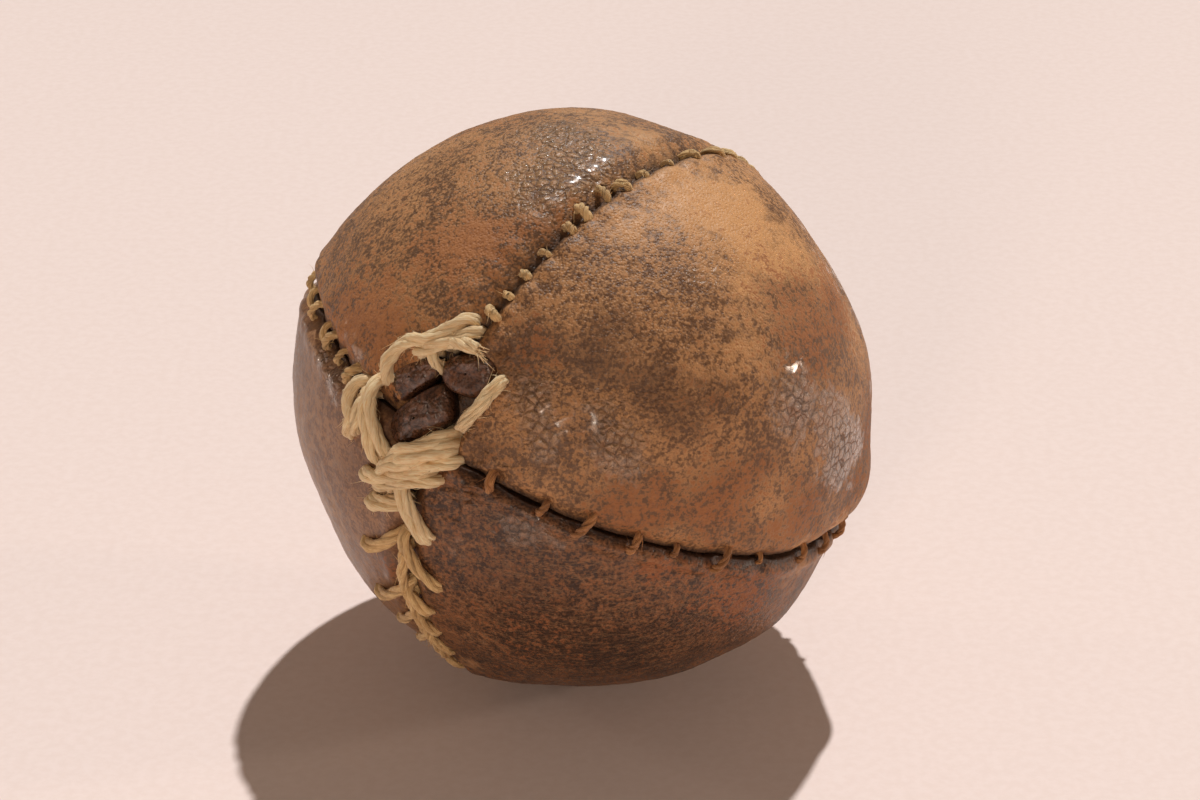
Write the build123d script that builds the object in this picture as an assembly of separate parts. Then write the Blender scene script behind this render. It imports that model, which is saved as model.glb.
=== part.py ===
from build123d import *
import os
from math import cos, degrees, pi, radians, sin, sqrt, tan

# Hand-stitched, stuffed leather ball.  Units are millimetres.
#
# A cork core is wound with wool yarn and packed round with loose wool, with one
# more pad of wool under each panel.  Four gore-shaped leather panels cover the
# wool and meet along four seams, from the front pole, where the cover was filled
# and closed, to the rear pole.  Each seam
# is sewn with one length of twine.  The filling slot at the front pole is closed
# by three folded leather tabs and a knotted lashing of thicker cord.
#
# The ball is worked out in its own pole frame: +Z towards the front pole, +X
# towards the right seam.  Longitude is counted from the right seam, and polar
# angle from the front pole, both in degrees.  It is then turned as it lies.

# Ball and cover
BALL_RADIUS = 37.5          # over the crown of a panel
PANEL_BULGE = 2.0           # how far a crown stands out past the poles
LEATHER = 2.2
SEAM_GAP = 0.4              # between the cut edges of two panels
REAR_OPENING = 1.5          # radius left open where the four tips meet behind

# Filling
CORE_RADIUS = 11.0
YARN_RADIUS = 27.0
PACKING_GAP = 0.05          # between one layer and the next

# Seams
SEAM_LONGITUDE = {"right": 0.0, "upper": 89.0, "left": 180.0, "lower": 281.0}
TWINE = 1.3                 # diameter
TWINE_CLEARANCE = 0.1       # round the twine, in its hole and its groove
TWINE_BEND = 0.8
STITCH_PITCH = {"right": 6.2, "upper": 3.8, "left": 5.5, "lower": 7.0}
STITCH_BITE = {"right": 1.7, "upper": 1.7, "left": 1.6, "lower": 1.9}
STITCH_SLANT = {"right": 0.8, "upper": 0.4, "left": 0.4, "lower": 2.0}
RESTING_SEAM = "lower"      # its stitches are drawn down into grooves, off the floor
GROOVE_SINK = 0.9           # how far the middle of its twine is below the leather
SEAM_START = {"right": 20.0, "upper": 29.0, "left": 24.0, "lower": 27.0}
SEAM_END = 170.0            # polar angle where the last stitch starts
REAR_STITCH = 176.0         # polar angle of the holes of the rear stitches

# Closing at the front pole
SLOT_WIDTH = 10.0
SLOT_FROM = -3.0            # along the line of the upper seam
SLOT_TO = 13.5
TAB_GAP = 0.3
TAB_LIFT = {"inner": 0.0, "side": 0.5, "outer": 0.25}
CORD = 2.2                  # diameter of the lashing
CORD_CLEARANCE = 0.1
CORD_BEND = 3.2
ENTRY_BEND = 1.5            # where it turns in through the cover

# Lie of the ball
POLE_AZIMUTH = 236.0
POLE_ELEVATION = 14.0
POLE_ROLL = -18.5
RESTING_PANEL = "lower_panel"
REST_DEPTH = 0.4            # wear of the spot that it stands on

BIG = 4 * BALL_RADIUS
PANEL_RADIUS = BALL_RADIUS - PANEL_BULGE
LINING_RADIUS = PANEL_RADIUS - LEATHER
POLE_LINING = sqrt(LINING_RADIUS ** 2 - PANEL_BULGE ** 2)
CHANNEL_RADIUS = POLE_LINING - TWINE - 2 * TWINE_CLEARANCE
CHANNEL_SIDE = TWINE / 2 + 2 * TWINE_CLEARANCE

# Each panel lies between two seams, in the order of their longitudes.
PANEL_SEAMS = {
    "right_panel": ("right", "upper"),
    "upper_panel": ("upper", "left"),
    "left_panel": ("left", "lower"),
    "lower_panel": ("lower", "right"),
}

# Two lashing holes side by side: the angle that keeps their cords apart inside the cover
HOLE_STEP = degrees((CORD + CORD_CLEARANCE) / CHANNEL_RADIUS)
LONG_STITCH_END = (55, 20.5)
LOOP_END_HOLE = (LONG_STITCH_END[0] + 2.06 * HOLE_STEP, LONG_STITCH_END[1] + 0.65 * HOLE_STEP)

# Lashings at the front pole: (longitude, polar angle, height over the leather).
# Each one starts and ends in a hole through the cover.
LASHINGS = {
    "closing_loop": [(154, 13.5, 0), (139, 17.5, 0.5), (124, 19, 0.6), (110, 20.5, 0.5), (101, 25, 0)],
    "loop_end": [(84, 24.5, 0.1), (*LOOP_END_HOLE, 0.2)],
    "front_strand_outer": [(163, 19, 0), (184, 18.2, 0.3), (203, 17, 0.4), (219, 19.5, 0)],
    "front_strand_inner": [(176, 12, 0), (199, 10.8, 0.4), (222, 11.2, 0.5), (240, 14.5, 0)],
    "closing_knot": [(262, 8.5, 0.2), (292, 6.5, 0.9), (345, 6, 0.9), (8, 11.5, 0)],
    "cross_lashing": [(253, 19, 0), (266, 15, 0.3), (292, 13.2, 0.4), (317, 12.6, 0)],
    "spine_lashing": [(272, 23, 0), (284, 20, 0.3), (298, 19.2, 0)],
    "long_stitch": [(57, 9.3, 0.4), (52, 15, 0.6), (*LONG_STITCH_END, 0.2)],
}


def direction(longitude, polar):
    """Unit vector from the ball's centre, in the pole frame."""
    lon = radians(longitude)
    pol = radians(polar)
    return Vector(sin(pol) * cos(lon), sin(pol) * sin(lon), cos(pol))


def outward(longitude):
    """Unit vector across the pole axis towards a longitude."""
    return direction(longitude, 90)


def span(panel):
    """First and last longitude of a panel, the last one always the larger."""
    first, last = (SEAM_LONGITUDE[seam] for seam in PANEL_SEAMS[panel])
    return first, last if last > first else last + 360


def middle(panel):
    first, last = span(panel)
    return (first + last) / 2


def panel_at(longitude):
    """The panel that covers a longitude."""
    for panel in PANEL_SEAMS:
        first, last = span(panel)
        if first <= longitude % 360 < last:
            return panel


def centre_of(panel):
    """Centre of the sphere that a panel is cut from."""
    return outward(middle(panel)) * PANEL_BULGE


def skin_radius(way, panel, radius=PANEL_RADIUS):
    """Distance from the ball's centre to a panel's sphere, along a direction."""
    centre = centre_of(panel)
    along = way.dot(centre)
    return along + sqrt(along ** 2 - PANEL_BULGE ** 2 + radius ** 2)


def panel_sphere(panel, radius):
    """Ball of a panel's own centre, with its poles and join outside the panel."""
    mid = middle(panel)
    return Plane(centre_of(panel), x_dir=-outward(mid), z_dir=outward(mid + 90)) * Sphere(radius)


def wedge(panel, side):
    """Prism between a panel's two seam planes, set back from each by side."""
    first, last = span(panel)
    half = radians((last - first) / 2)
    apex = outward(middle(panel)) * (side / sin(half))
    points = [
        apex,
        apex + outward(first) * BIG,
        apex + outward(middle(panel)) * (BIG / cos(half)),
        apex + outward(last) * BIG,
    ]
    return extrude(make_face(Polyline(*points, close=True)), amount=BIG, both=True)


def slot(width, start, end, inner, outer):
    """Piece of a thick shell inside a straight slot that leaves the front pole."""
    block = Box(width, end - start, BIG, align=(Align.CENTER, Align.MIN, Align.MIN))
    block = Pos(0, start, 0) * fillet(block.edges().filter_by(Axis.Z), min(width, end - start) / 5)
    block = Rot(0, 0, SEAM_LONGITUDE["upper"] - 90) * block
    return block & (Sphere(outer) - Sphere(inner))


def tube(route, diameter, largest_bend, entry_bend=None):
    """Round cord along straight runs joined by the largest arcs that fit them."""
    radii = []
    for before, corner, after in zip(route, route[1:], route[2:]):
        one = corner - before
        two = after - corner
        turn = radians(one.get_angle(two))
        radii.append(min(largest_bend, 0.45 * min(one.length, two.length) / tan(turn / 2)))
    if entry_bend:
        radii[0] = min(radii[0], entry_bend)
        radii[-1] = min(radii[-1], entry_bend)
    path = FilletPolyline(*route, radius=radii)
    section = Plane(path @ 0, z_dir=path % 0) * Circle(diameter / 2)
    body = sweep(section, path=path)
    wanted = pi * diameter ** 2 / 4 * path.length
    assert abs(body.volume / wanted - 1) < 0.02, "a cord is pinched"
    return body


def seam_point(seam, polar, offset, panel, rise, radius):
    """Point beside a seam, at a height over a panel's outer or inner face."""
    lon = SEAM_LONGITUDE[seam]
    way = direction(lon, polar) * BALL_RADIUS + outward(lon + 90) * offset
    way = way.normalized()
    return way * (skin_radius(way, panel, radius) + rise)


def seam_route(seam):
    """Twine of one seam: over the joint at each stitch, and back under the cover."""
    before = [name for name, pair in PANEL_SEAMS.items() if pair[1] == seam][0]
    after = [name for name, pair in PANEL_SEAMS.items() if pair[0] == seam][0]
    start = SEAM_START[seam]
    count = round(radians(SEAM_END - start) * BALL_RADIUS / STITCH_PITCH[seam])
    step = (SEAM_END - start) / count
    lean = degrees(STITCH_SLANT[seam] / BALL_RADIUS)
    bite = STITCH_BITE[seam]
    under = -TWINE / 2 - TWINE_CLEARANCE
    over = -GROOVE_SINK if seam == RESTING_SEAM else TWINE / 2 + TWINE_CLEARANCE
    route = []
    for stitch in range(count + 1):
        polar = start + stitch * step
        route.append(seam_point(seam, polar, -bite, before, under, LINING_RADIUS))
        route.append(seam_point(seam, polar, -bite, before, over, PANEL_RADIUS))
        route.append(seam_point(seam, polar + lean, bite, after, over, PANEL_RADIUS))
        route.append(seam_point(seam, polar + lean, bite, after, under, LINING_RADIUS))
    return route


def lashing_route(points):
    """Cord on top of the cover, with both ends turned in through it."""
    route = []
    for longitude, polar, lift in points:
        way = direction(longitude, polar)
        height = skin_radius(way, panel_at(longitude)) + CORD / 2 + CORD_CLEARANCE + lift
        route.append(way * height)
    inside = CHANNEL_RADIUS + PACKING_GAP
    return [route[0].normalized() * inside] + route + [route[-1].normalized() * inside]


def radial_hole(point, diameter, inside):
    """Cutter through the cover, on the line from the ball's centre to a point."""
    way = point.normalized()
    height = BALL_RADIUS - inside + CORD
    hole = Cylinder(diameter / 2, height, align=(Align.CENTER, Align.CENTER, Align.MIN))
    return Plane(way * inside, z_dir=way) * hole


def end_holes(points):
    """Holes for the two ends of a lashing."""
    width = CORD + 2 * CORD_CLEARANCE
    return [radial_hole(direction(*point[:2]), width, CHANNEL_RADIUS)
            for point in (points[0], points[-1])]


def seam_cuts(seam, route):
    """Awl holes of a seam, or holes and grooves in one where the twine is sunk."""
    width = TWINE + 2 * TWINE_CLEARANCE
    if seam == RESTING_SEAM:
        return [tube(route, width, TWINE_BEND)]
    return [radial_hole(point, width, CHANNEL_RADIUS) for point in route[1::4] + route[2::4]]


def make_core():
    return Sphere(CORE_RADIUS)


def make_yarn():
    return Sphere(YARN_RADIUS) - Sphere(CORE_RADIUS + PACKING_GAP)


def make_wool():
    """Wool packed round the winding, up to the twine's channels."""
    return Sphere(CHANNEL_RADIUS) - Sphere(YARN_RADIUS + PACKING_GAP)


def make_pad(panel, holes):
    """Wool under one panel, clear of the twine on the insides of its seams."""
    side = max(STITCH_BITE.values()) + CHANNEL_SIDE
    pad = panel_sphere(panel, LINING_RADIUS - PACKING_GAP) & wedge(panel, side)
    pad -= Sphere(CHANNEL_RADIUS + PACKING_GAP)
    return pad - slot(SLOT_WIDTH, SLOT_FROM, SLOT_TO, CHANNEL_RADIUS, BIG) - holes


def make_panel(panel, cuts):
    """One leather gore with its edges, its awl holes and its stitch grooves."""
    shell = panel_sphere(panel, PANEL_RADIUS) - panel_sphere(panel, LINING_RADIUS)
    shell = shell & wedge(panel, SEAM_GAP / 2)
    shell -= Cylinder(REAR_OPENING, BIG, align=(Align.CENTER, Align.CENTER, Align.MAX))
    shell -= slot(SLOT_WIDTH, SLOT_FROM, SLOT_TO, CHANNEL_RADIUS, BIG)
    return shell - cuts


def make_tabs(holes):
    """Three folded tabs that close the filling slot, one behind the next."""
    inner = CHANNEL_RADIUS + PACKING_GAP
    width = SLOT_WIDTH - 2 * TAB_GAP
    low = SLOT_FROM + TAB_GAP
    high = SLOT_TO - TAB_GAP
    third = (high - low - 2 * TAB_GAP) / 3
    tabs = {}
    for place, name in enumerate(("inner", "side", "outer")):
        start = low + place * (third + TAB_GAP)
        top = PANEL_RADIUS + TAB_LIFT[name]
        tab = slot(width, start, start + third, inner, top)
        tabs["closing_tab_" + name] = tab - holes
    return tabs


def rear_routes():
    """Two short stitches that cross over the rear pole, one on top of the other."""
    inside = POLE_LINING - TWINE / 2 - TWINE_CLEARANCE
    routes = []
    lowest = TWINE / 2 + TWINE_CLEARANCE
    for longitude, lift in ((45, lowest), (135, lowest + TWINE + TWINE_CLEARANCE)):
        near = direction(longitude, REAR_STITCH)
        far = direction(longitude + 180, REAR_STITCH)
        top = PANEL_RADIUS + lift
        routes.append([near * inside, near * top, far * top, far * inside])
    return routes


def lie_plane():
    """Pole frame of the ball as it lies, standing on its worn spot at Z = 0."""
    az = radians(POLE_AZIMUTH)
    el = radians(POLE_ELEVATION)
    roll = radians(POLE_ROLL)
    pole = Vector(cos(el) * cos(az), cos(el) * sin(az), sin(el))
    level = Vector(0, 0, 1).cross(pole).normalized()
    across = level * cos(roll) + pole.cross(level) * sin(roll)
    turned = Plane((0, 0, 0), x_dir=across, z_dir=pole)
    lowest = turned.from_local_coords(centre_of(RESTING_PANEL)).Z - PANEL_RADIUS
    return Plane((0, 0, -lowest - REST_DEPTH), x_dir=across, z_dir=pole)


def build():
    """Every sub-part as it lies, by its node's name."""
    lashing_holes = []
    for points in LASHINGS.values():
        lashing_holes += end_holes(points)
    rear_holes = []
    for route in rear_routes():
        rear_holes += [radial_hole(point, TWINE + 2 * TWINE_CLEARANCE, CHANNEL_RADIUS)
                       for point in (route[0], route[-1])]
    routes = {seam: seam_route(seam) for seam in SEAM_LONGITUDE}
    cuts = {seam: seam_cuts(seam, route) for seam, route in routes.items()}

    nodes = {
        "cork_core": make_core(),
        "yarn_winding": make_yarn(),
        "wool_stuffing": make_wool(),
    }
    for panel, seams in PANEL_SEAMS.items():
        nodes[panel.replace("panel", "wool_pad")] = make_pad(panel, lashing_holes)
        nodes[panel] = make_panel(panel, cuts[seams[0]] + cuts[seams[1]] + rear_holes + lashing_holes)
    nodes.update(make_tabs(lashing_holes))
    for seam, route in routes.items():
        nodes[seam + "_seam_twine"] = tube(route, TWINE, TWINE_BEND)
    for name, points in LASHINGS.items():
        nodes[name] = tube(lashing_route(points), CORD, CORD_BEND, ENTRY_BEND)
    nodes["rear_pole_stitches"] = Compound(children=[
        tube(route, TWINE, TWINE_BEND) for route in rear_routes()])

    place = lie_plane()
    nodes = {name: place * shape for name, shape in nodes.items()}
    below = Box(BIG, BIG, BIG, align=(Align.CENTER, Align.CENTER, Align.MAX))
    nodes[RESTING_PANEL] -= below
    return nodes


if __name__ == "__main__":
    os.makedirs("parts", exist_ok=True)
    for name, shape in build().items():
        shape.label = name
        export_step(shape, "parts/" + name + ".step")
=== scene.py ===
"""Old hand-stitched, stuffed leather ball with a lashed closing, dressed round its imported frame."""

import logging
import math
from collections.abc import Callable, Iterable
from dataclasses import dataclass, field
from enum import Enum

import bpy
import numpy as np
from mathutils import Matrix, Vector


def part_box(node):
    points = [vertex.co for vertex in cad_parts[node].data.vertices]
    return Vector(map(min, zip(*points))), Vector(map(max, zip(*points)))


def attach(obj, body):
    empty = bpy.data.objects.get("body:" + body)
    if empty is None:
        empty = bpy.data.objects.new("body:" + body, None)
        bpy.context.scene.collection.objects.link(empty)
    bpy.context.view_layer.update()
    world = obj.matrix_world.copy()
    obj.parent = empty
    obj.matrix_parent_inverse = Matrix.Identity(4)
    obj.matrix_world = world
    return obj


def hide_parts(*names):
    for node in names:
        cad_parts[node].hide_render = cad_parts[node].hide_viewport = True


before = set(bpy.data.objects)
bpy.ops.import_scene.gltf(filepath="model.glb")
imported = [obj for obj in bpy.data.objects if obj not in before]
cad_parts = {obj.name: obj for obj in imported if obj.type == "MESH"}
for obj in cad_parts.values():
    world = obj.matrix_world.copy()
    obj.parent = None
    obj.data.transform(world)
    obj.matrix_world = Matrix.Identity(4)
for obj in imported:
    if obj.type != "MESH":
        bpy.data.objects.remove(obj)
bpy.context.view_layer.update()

LOG = logging.getLogger("leather_ball")
MM = 0.001
ROOT = "root"


# ---------------------------------------------------------------- measures of the ball, in millimetres

BALL_RADIUS = 37.5
PANEL_BULGE = 2.0
PANEL_RADIUS = BALL_RADIUS - PANEL_BULGE
LEATHER = 2.2
PACKING_GAP = 0.05
POLE_AZIMUTH = 236.0
POLE_ELEVATION = 14.0
POLE_ROLL = -18.5


class Seam(Enum):
    """The four seams, by their longitude in degrees from the right seam."""

    RIGHT = 0.0
    UPPER = 89.0
    LEFT = 180.0
    LOWER = 281.0


class Panel(Enum):
    """The four gores, by the node's first word."""

    RIGHT = "right"
    UPPER = "upper"
    LEFT = "left"
    LOWER = "lower"


PANEL_SEAMS: dict[Panel, tuple[Seam, Seam]] = {
    Panel.RIGHT: (Seam.RIGHT, Seam.UPPER),
    Panel.UPPER: (Seam.UPPER, Seam.LEFT),
    Panel.LEFT: (Seam.LEFT, Seam.LOWER),
    Panel.LOWER: (Seam.LOWER, Seam.RIGHT),
}


# ---------------------------------------------------------------- noise on whole arrays

def lattice(cell: np.ndarray, seed: int) -> np.ndarray:
    """Random number from 0 to 1 for each whole-number cell, by mixing its bits.

    Args:
        cell: Whole-number cell corners, shape (..., 3).
        seed: Number that picks one of many patterns.

    Returns:
        One number for each cell.
    """
    c = cell.astype(np.int64).astype(np.uint32)
    h = c[..., 0] * np.uint32(73856093) ^ c[..., 1] * np.uint32(19349663) ^ c[..., 2] * np.uint32(83492791)
    h = h ^ np.uint32((seed * 2654435761) & 0xFFFFFFFF)
    h = (h ^ (h >> np.uint32(15))) * np.uint32(2246822519)
    h = (h ^ (h >> np.uint32(13))) * np.uint32(3266489917)
    h = h ^ (h >> np.uint32(16))
    return h.astype(np.float64) / 4294967296.0


def cloud(points: np.ndarray, size: float, seed: int, octaves: int = 3) -> np.ndarray:
    """Smooth noise from -1 to 1: lattice values blended by a cubic ease, each octave half as large.

    Args:
        points: Places in millimetres, shape (..., 3).
        size: Size of the largest blots in millimetres.
        seed: Number that picks one of many patterns.
        octaves: How many ever finer layers are added.

    Returns:
        One number for each place.
    """
    total = np.zeros(points.shape[:-1])
    weight = 0.0
    for octave in range(octaves):
        p = points * (2 ** octave / size) + 17.3 * octave
        low = np.floor(p)
        t = p - low
        t = t * t * (3 - 2 * t)
        value = 0.0
        for corner in np.ndindex(2, 2, 2):
            w = np.prod(np.where(np.array(corner) == 1, t, 1 - t), axis=-1)
            value = value + w * lattice(low + corner, seed + octave)
        total += (2 * value - 1) / 2 ** octave
        weight += 1 / 2 ** octave
    return total / weight * 1.4


def ease(value: np.ndarray, low: float, high: float) -> np.ndarray:
    """Smooth step from 0 at low to 1 at high."""
    t = np.clip((value - low) / (high - low), 0, 1)
    return t * t * (3 - 2 * t)


# ---------------------------------------------------------------- the ball's own frame

class BallFrame:
    """Pole frame of the ball as it lies: longitude from the right seam, polar angle from the front pole."""

    def __init__(self) -> None:
        """Takes the ball's centre from the cork core, which is round about it."""
        low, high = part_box("cork_core")
        self.centre = (np.array(low) + np.array(high)) / 2 / MM
        az, el, roll = (math.radians(a) for a in (POLE_AZIMUTH, POLE_ELEVATION, POLE_ROLL))
        pole = np.array([math.cos(el) * math.cos(az), math.cos(el) * math.sin(az), math.sin(el)])
        level = np.cross([0, 0, 1], pole)
        level /= np.linalg.norm(level)
        across = math.cos(roll) * level + math.sin(roll) * np.cross(pole, level)
        self.axes = np.array([across, np.cross(pole, across), pole])

    def way(self, longitude: np.ndarray, polar: np.ndarray) -> np.ndarray:
        """Unit vectors, in the row frame, towards longitudes and polar angles in degrees."""
        lon, pol = np.radians(longitude), np.radians(polar)
        lon, pol = np.broadcast_arrays(lon, pol)
        local = np.stack([np.sin(pol) * np.cos(lon), np.sin(pol) * np.sin(lon), np.cos(pol)], axis=-1)
        return local @ self.axes

    def place(self, way: np.ndarray, radius: np.ndarray) -> np.ndarray:
        """Points in millimetres at a radius along unit vectors."""
        return self.centre + way * np.asarray(radius)[..., None]

    def middle(self, panel: Panel) -> float:
        """Longitude of a panel's middle."""
        first, last = self.span(panel)
        return (first + last) / 2

    @staticmethod
    def span(panel: Panel) -> tuple[float, float]:
        """First and last longitude of a panel, the last one always the larger."""
        first, last = (seam.value for seam in PANEL_SEAMS[panel])
        return first, last if last > first else last + 360

    def skin(self, way: np.ndarray, panel: Panel) -> np.ndarray:
        """Radius of a panel's outer face: a sphere whose centre is set off towards the panel's middle."""
        centre = self.way(self.middle(panel), 90.0) * PANEL_BULGE
        along = way @ centre
        return along + np.sqrt(along ** 2 - PANEL_BULGE ** 2 + PANEL_RADIUS ** 2)


@dataclass(frozen=True)
class Lump:
    """A broad bulge or hollow of the stuffed ball, seen as a clock face from the closing's side.

    Args:
        turn: Degrees anticlockwise from the right, round the ball's outline.
        lean: Degrees towards the viewer from that outline.
        reach: Degrees from its middle to where it fades.
        height: Millimetres outwards.
    """

    turn: float
    lean: float
    reach: float
    height: float

    def way(self) -> np.ndarray:
        """Unit vector to its middle, for a viewer who looks along +Y and down by VIEW_ELEVATION."""
        tilt = math.radians(VIEW_ELEVATION)
        up = np.array([0, math.sin(tilt), math.cos(tilt)])
        near = np.array([0, -math.cos(tilt), math.sin(tilt)])
        turn, lean = math.radians(self.turn), math.radians(self.lean)
        rim = math.cos(turn) * np.array([1.0, 0, 0]) + math.sin(turn) * up
        return math.cos(lean) * rim + math.sin(lean) * near


VIEW_ELEVATION = 26.0
LUMPS = (
    Lump(155, 5, 15, 1.3),
    Lump(32, 5, 17, -1.2),
    Lump(205, 5, 15, -1.2),
    Lump(312, 5, 10, 0.9),
    Lump(342, 5, 8, 1.6),
    Lump(250, 5, 10, 1.0),
    Lump(72, 5, 12, -0.7),
    Lump(100, 45, 20, 0.3),
    Lump(300, 50, 22, -0.5),
    Lump(20, 55, 20, 0.5),
)


@dataclass(frozen=True)
class Spot:
    """A worn, stained or glazed patch of a panel.

    Args:
        longitude: Degrees from the right seam.
        polar: Degrees from the front pole.
        reach: Degrees from its middle to where it fades.
        strength: 1 is the full effect.
    """

    longitude: float
    polar: float
    reach: float
    strength: float = 1.0


def spread(ball: BallFrame, spots: tuple[Spot, ...], way: np.ndarray, ragged: np.ndarray) -> np.ndarray:
    """Adds up patches, each a bell of the angle from its middle, with ragged edges.

    Args:
        ball: The ball's frame.
        spots: The patches.
        way: Unit vectors of the places.
        ragged: Noise from -1 to 1 at the places, which frays each patch.

    Returns:
        The patches' strength at each place, from 0 up.
    """
    total = np.zeros(way.shape[:-1])
    for spot in spots:
        middle = ball.way(spot.longitude, spot.polar)
        angle = np.degrees(np.arccos(np.clip(way @ middle, -1, 1)))
        total += spot.strength * np.exp(-(angle / spot.reach * (1 + 0.45 * ragged)) ** 2)
    return np.clip(total, 0, 1.5)


@dataclass(frozen=True)
class Edge:
    """How a panel's cut edge lies along one seam.

    Args:
        drop: Millimetres that the very edge is turned down.
        width: Millimetres over which it turns.
        lip: Height of the welt beside the seam.
        lip_at: Distance of the welt from the seam.
        lip_width: Half width of the welt.
        pucker: Depth of the hollow at each stitch.
        gap: Millimetres from the seam's line to the edge.
    """

    drop: float
    width: float
    lip: float = 0.0
    lip_at: float = 2.0
    lip_width: float = 1.2
    pucker: float = 0.4
    gap: float = 0.2


EDGES: dict[tuple[Panel, Seam], Edge] = {
    (Panel.RIGHT, Seam.UPPER): Edge(0.35, 0.7, 0.35, 1.5, 1.3, 0.3, 0.25),
    (Panel.UPPER, Seam.UPPER): Edge(1.5, 2.4, 0.25, 4.6, 1.6, 0.3, 0.3),
    (Panel.RIGHT, Seam.RIGHT): Edge(0.9, 1.4, 0.15, 2.6, 1.4, 0.35, 0.2),
    (Panel.LOWER, Seam.RIGHT): Edge(0.45, 0.7, 0.5, 1.5, 0.9, 0.45, 0.15),
    (Panel.UPPER, Seam.LEFT): Edge(1.3, 1.9, 0.3, 3.2, 1.2, 0.5, 0.3),
    (Panel.LEFT, Seam.LEFT): Edge(1.2, 1.6, 0.35, 2.8, 1.0, 0.4, 0.3),
    (Panel.LEFT, Seam.LOWER): Edge(1.1, 1.9, 0.35, 3.0, 1.2, 0.8, 0.25),
    (Panel.LOWER, Seam.LOWER): Edge(1.0, 1.5, 0.3, 2.6, 1.2, 0.7, 0.25),
}


@dataclass(frozen=True)
class Stitch:
    """One stitch over a seam: where it goes down on each side.

    Args:
        polar: Degrees from the front pole, on the side of the smaller longitude.
        before: Millimetres from the seam on that side.
        after: Millimetres from the seam on the other side.
        lean: Degrees of polar angle from the first hole to the second.
        plump: Thickness against the common twine.
        proud: Millimetres that its middle stands over the leather.
    """

    polar: float
    before: float
    after: float
    lean: float = 0.0
    plump: float = 1.0
    proud: float = 0.25


@dataclass(frozen=True)
class SeamPlan:
    """The stitches of one seam: those placed one by one, then even ones round the back.

    Args:
        stitches: The stitches that were placed one by one.
        pitch: Degrees between the even ones.
        end: Polar angle of the last one.
    """

    stitches: tuple[Stitch, ...]
    pitch: float
    end: float = 169.0

    def all(self, seed: int) -> list[Stitch]:
        """Every stitch from the front pole to the back one, the even ones a little uneven."""
        made = list(self.stitches)
        rng = np.random.default_rng(seed)
        like = made[-1]
        polar = made[-1].polar + self.pitch
        while polar < self.end:
            wobble = rng.uniform(-1, 1, 4)
            made.append(Stitch(polar + 0.5 * wobble[0], abs(like.before) * (1 + 0.15 * wobble[1]) + 0.2,
                               abs(like.after) * (1 + 0.15 * wobble[2]) + 0.2, like.lean + 0.6 * wobble[3],
                               like.plump, 0.2))
            polar += self.pitch
        return made


SEAM_PLANS: dict[Seam, SeamPlan] = {
    Seam.UPPER: SeamPlan((
        Stitch(28.2, 1.0, 1.5, 0.5, 1.35, 0.7), Stitch(33.0, 0.5, 1.2, 0.0, 0.95),
        Stitch(38.0, 0.5, 1.3, 0.4, 1.0),
        Stitch(44.0, 0.6, 1.4, -0.3, 0.9), Stitch(50.5, 0.7, 1.4, 0.5, 1.1, 0.4),
        Stitch(54.5, 0.6, 2.0, 1.2, 1.35, 0.5),
        Stitch(61.0, 0.3, 2.4, 1.0, 1.0, 0.3), Stitch(66.0, 0.9, 1.6, -0.6, 1.1, 0.3),
        Stitch(72.0, 0.5, 1.3, 0.2, 0.8),
        Stitch(80.0, 0.5, 1.2, 0.0, 0.75), Stitch(88.0, 0.8, 1.5, -0.8, 1.0, 0.4),
        Stitch(97.0, 1.0, 1.6, -1.0, 1.1, 0.4),
    ), 6.0),
    Seam.RIGHT: SeamPlan((
        Stitch(17.5, 1.5, 1.7, -0.8, 1.15, 0.35), Stitch(27.6, 0.9, 1.3, 1.0, 1.0),
        Stitch(35.4, 1.7, 2.0, 2.4, 1.2, 0.3),
        Stitch(46.6, 1.4, 1.3, 1.2, 1.05), Stitch(56.0, 0.8, 0.9, 0.5, 0.8, 0.1),
        Stitch(65.5, 1.7, 1.8, 2.2, 1.1, 0.3),
        Stitch(77.0, 0.7, 0.8, 0.6, 0.7, 0.05), Stitch(90.0, 1.2, 1.3, 1.2, 0.9, 0.15),
    ), 9.5),
    Seam.LEFT: SeamPlan((
        Stitch(22.0, 1.6, 1.5, 1.5, 1.3, 0.4), Stitch(28.5, 1.4, 1.2, 0.8, 0.9, 0.3),
        Stitch(33.5, 1.8, 1.3, 2.0, 1.1, 0.4),
        Stitch(39.0, 1.5, 1.3, -1.5, 0.9, 0.3), Stitch(46.0, 1.7, 1.5, 2.0, 1.0, 0.4),
        Stitch(53.0, 1.6, 1.4, -1.0, 1.0, 0.3),
        Stitch(60.0, 1.6, 1.6, 1.2, 1.0, 0.3),
    ), 8.5),
    Seam.LOWER: SeamPlan((
        Stitch(31.5, 4.4, 1.2, -5.0, 0.95, 0.35), Stitch(42.0, 3.6, 1.4, -4.0, 0.95, 0.3),
        Stitch(50.5, 2.6, 1.5, -2.5, 0.95, 0.2),
        Stitch(57.5, 2.0, 1.6, -1.5, 0.95, 0.1), Stitch(64.0, 1.7, 1.7, -0.5, 0.95, 0.0),
    ), 7.5),
}


# ---------------------------------------------------------------- meshes

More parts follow.
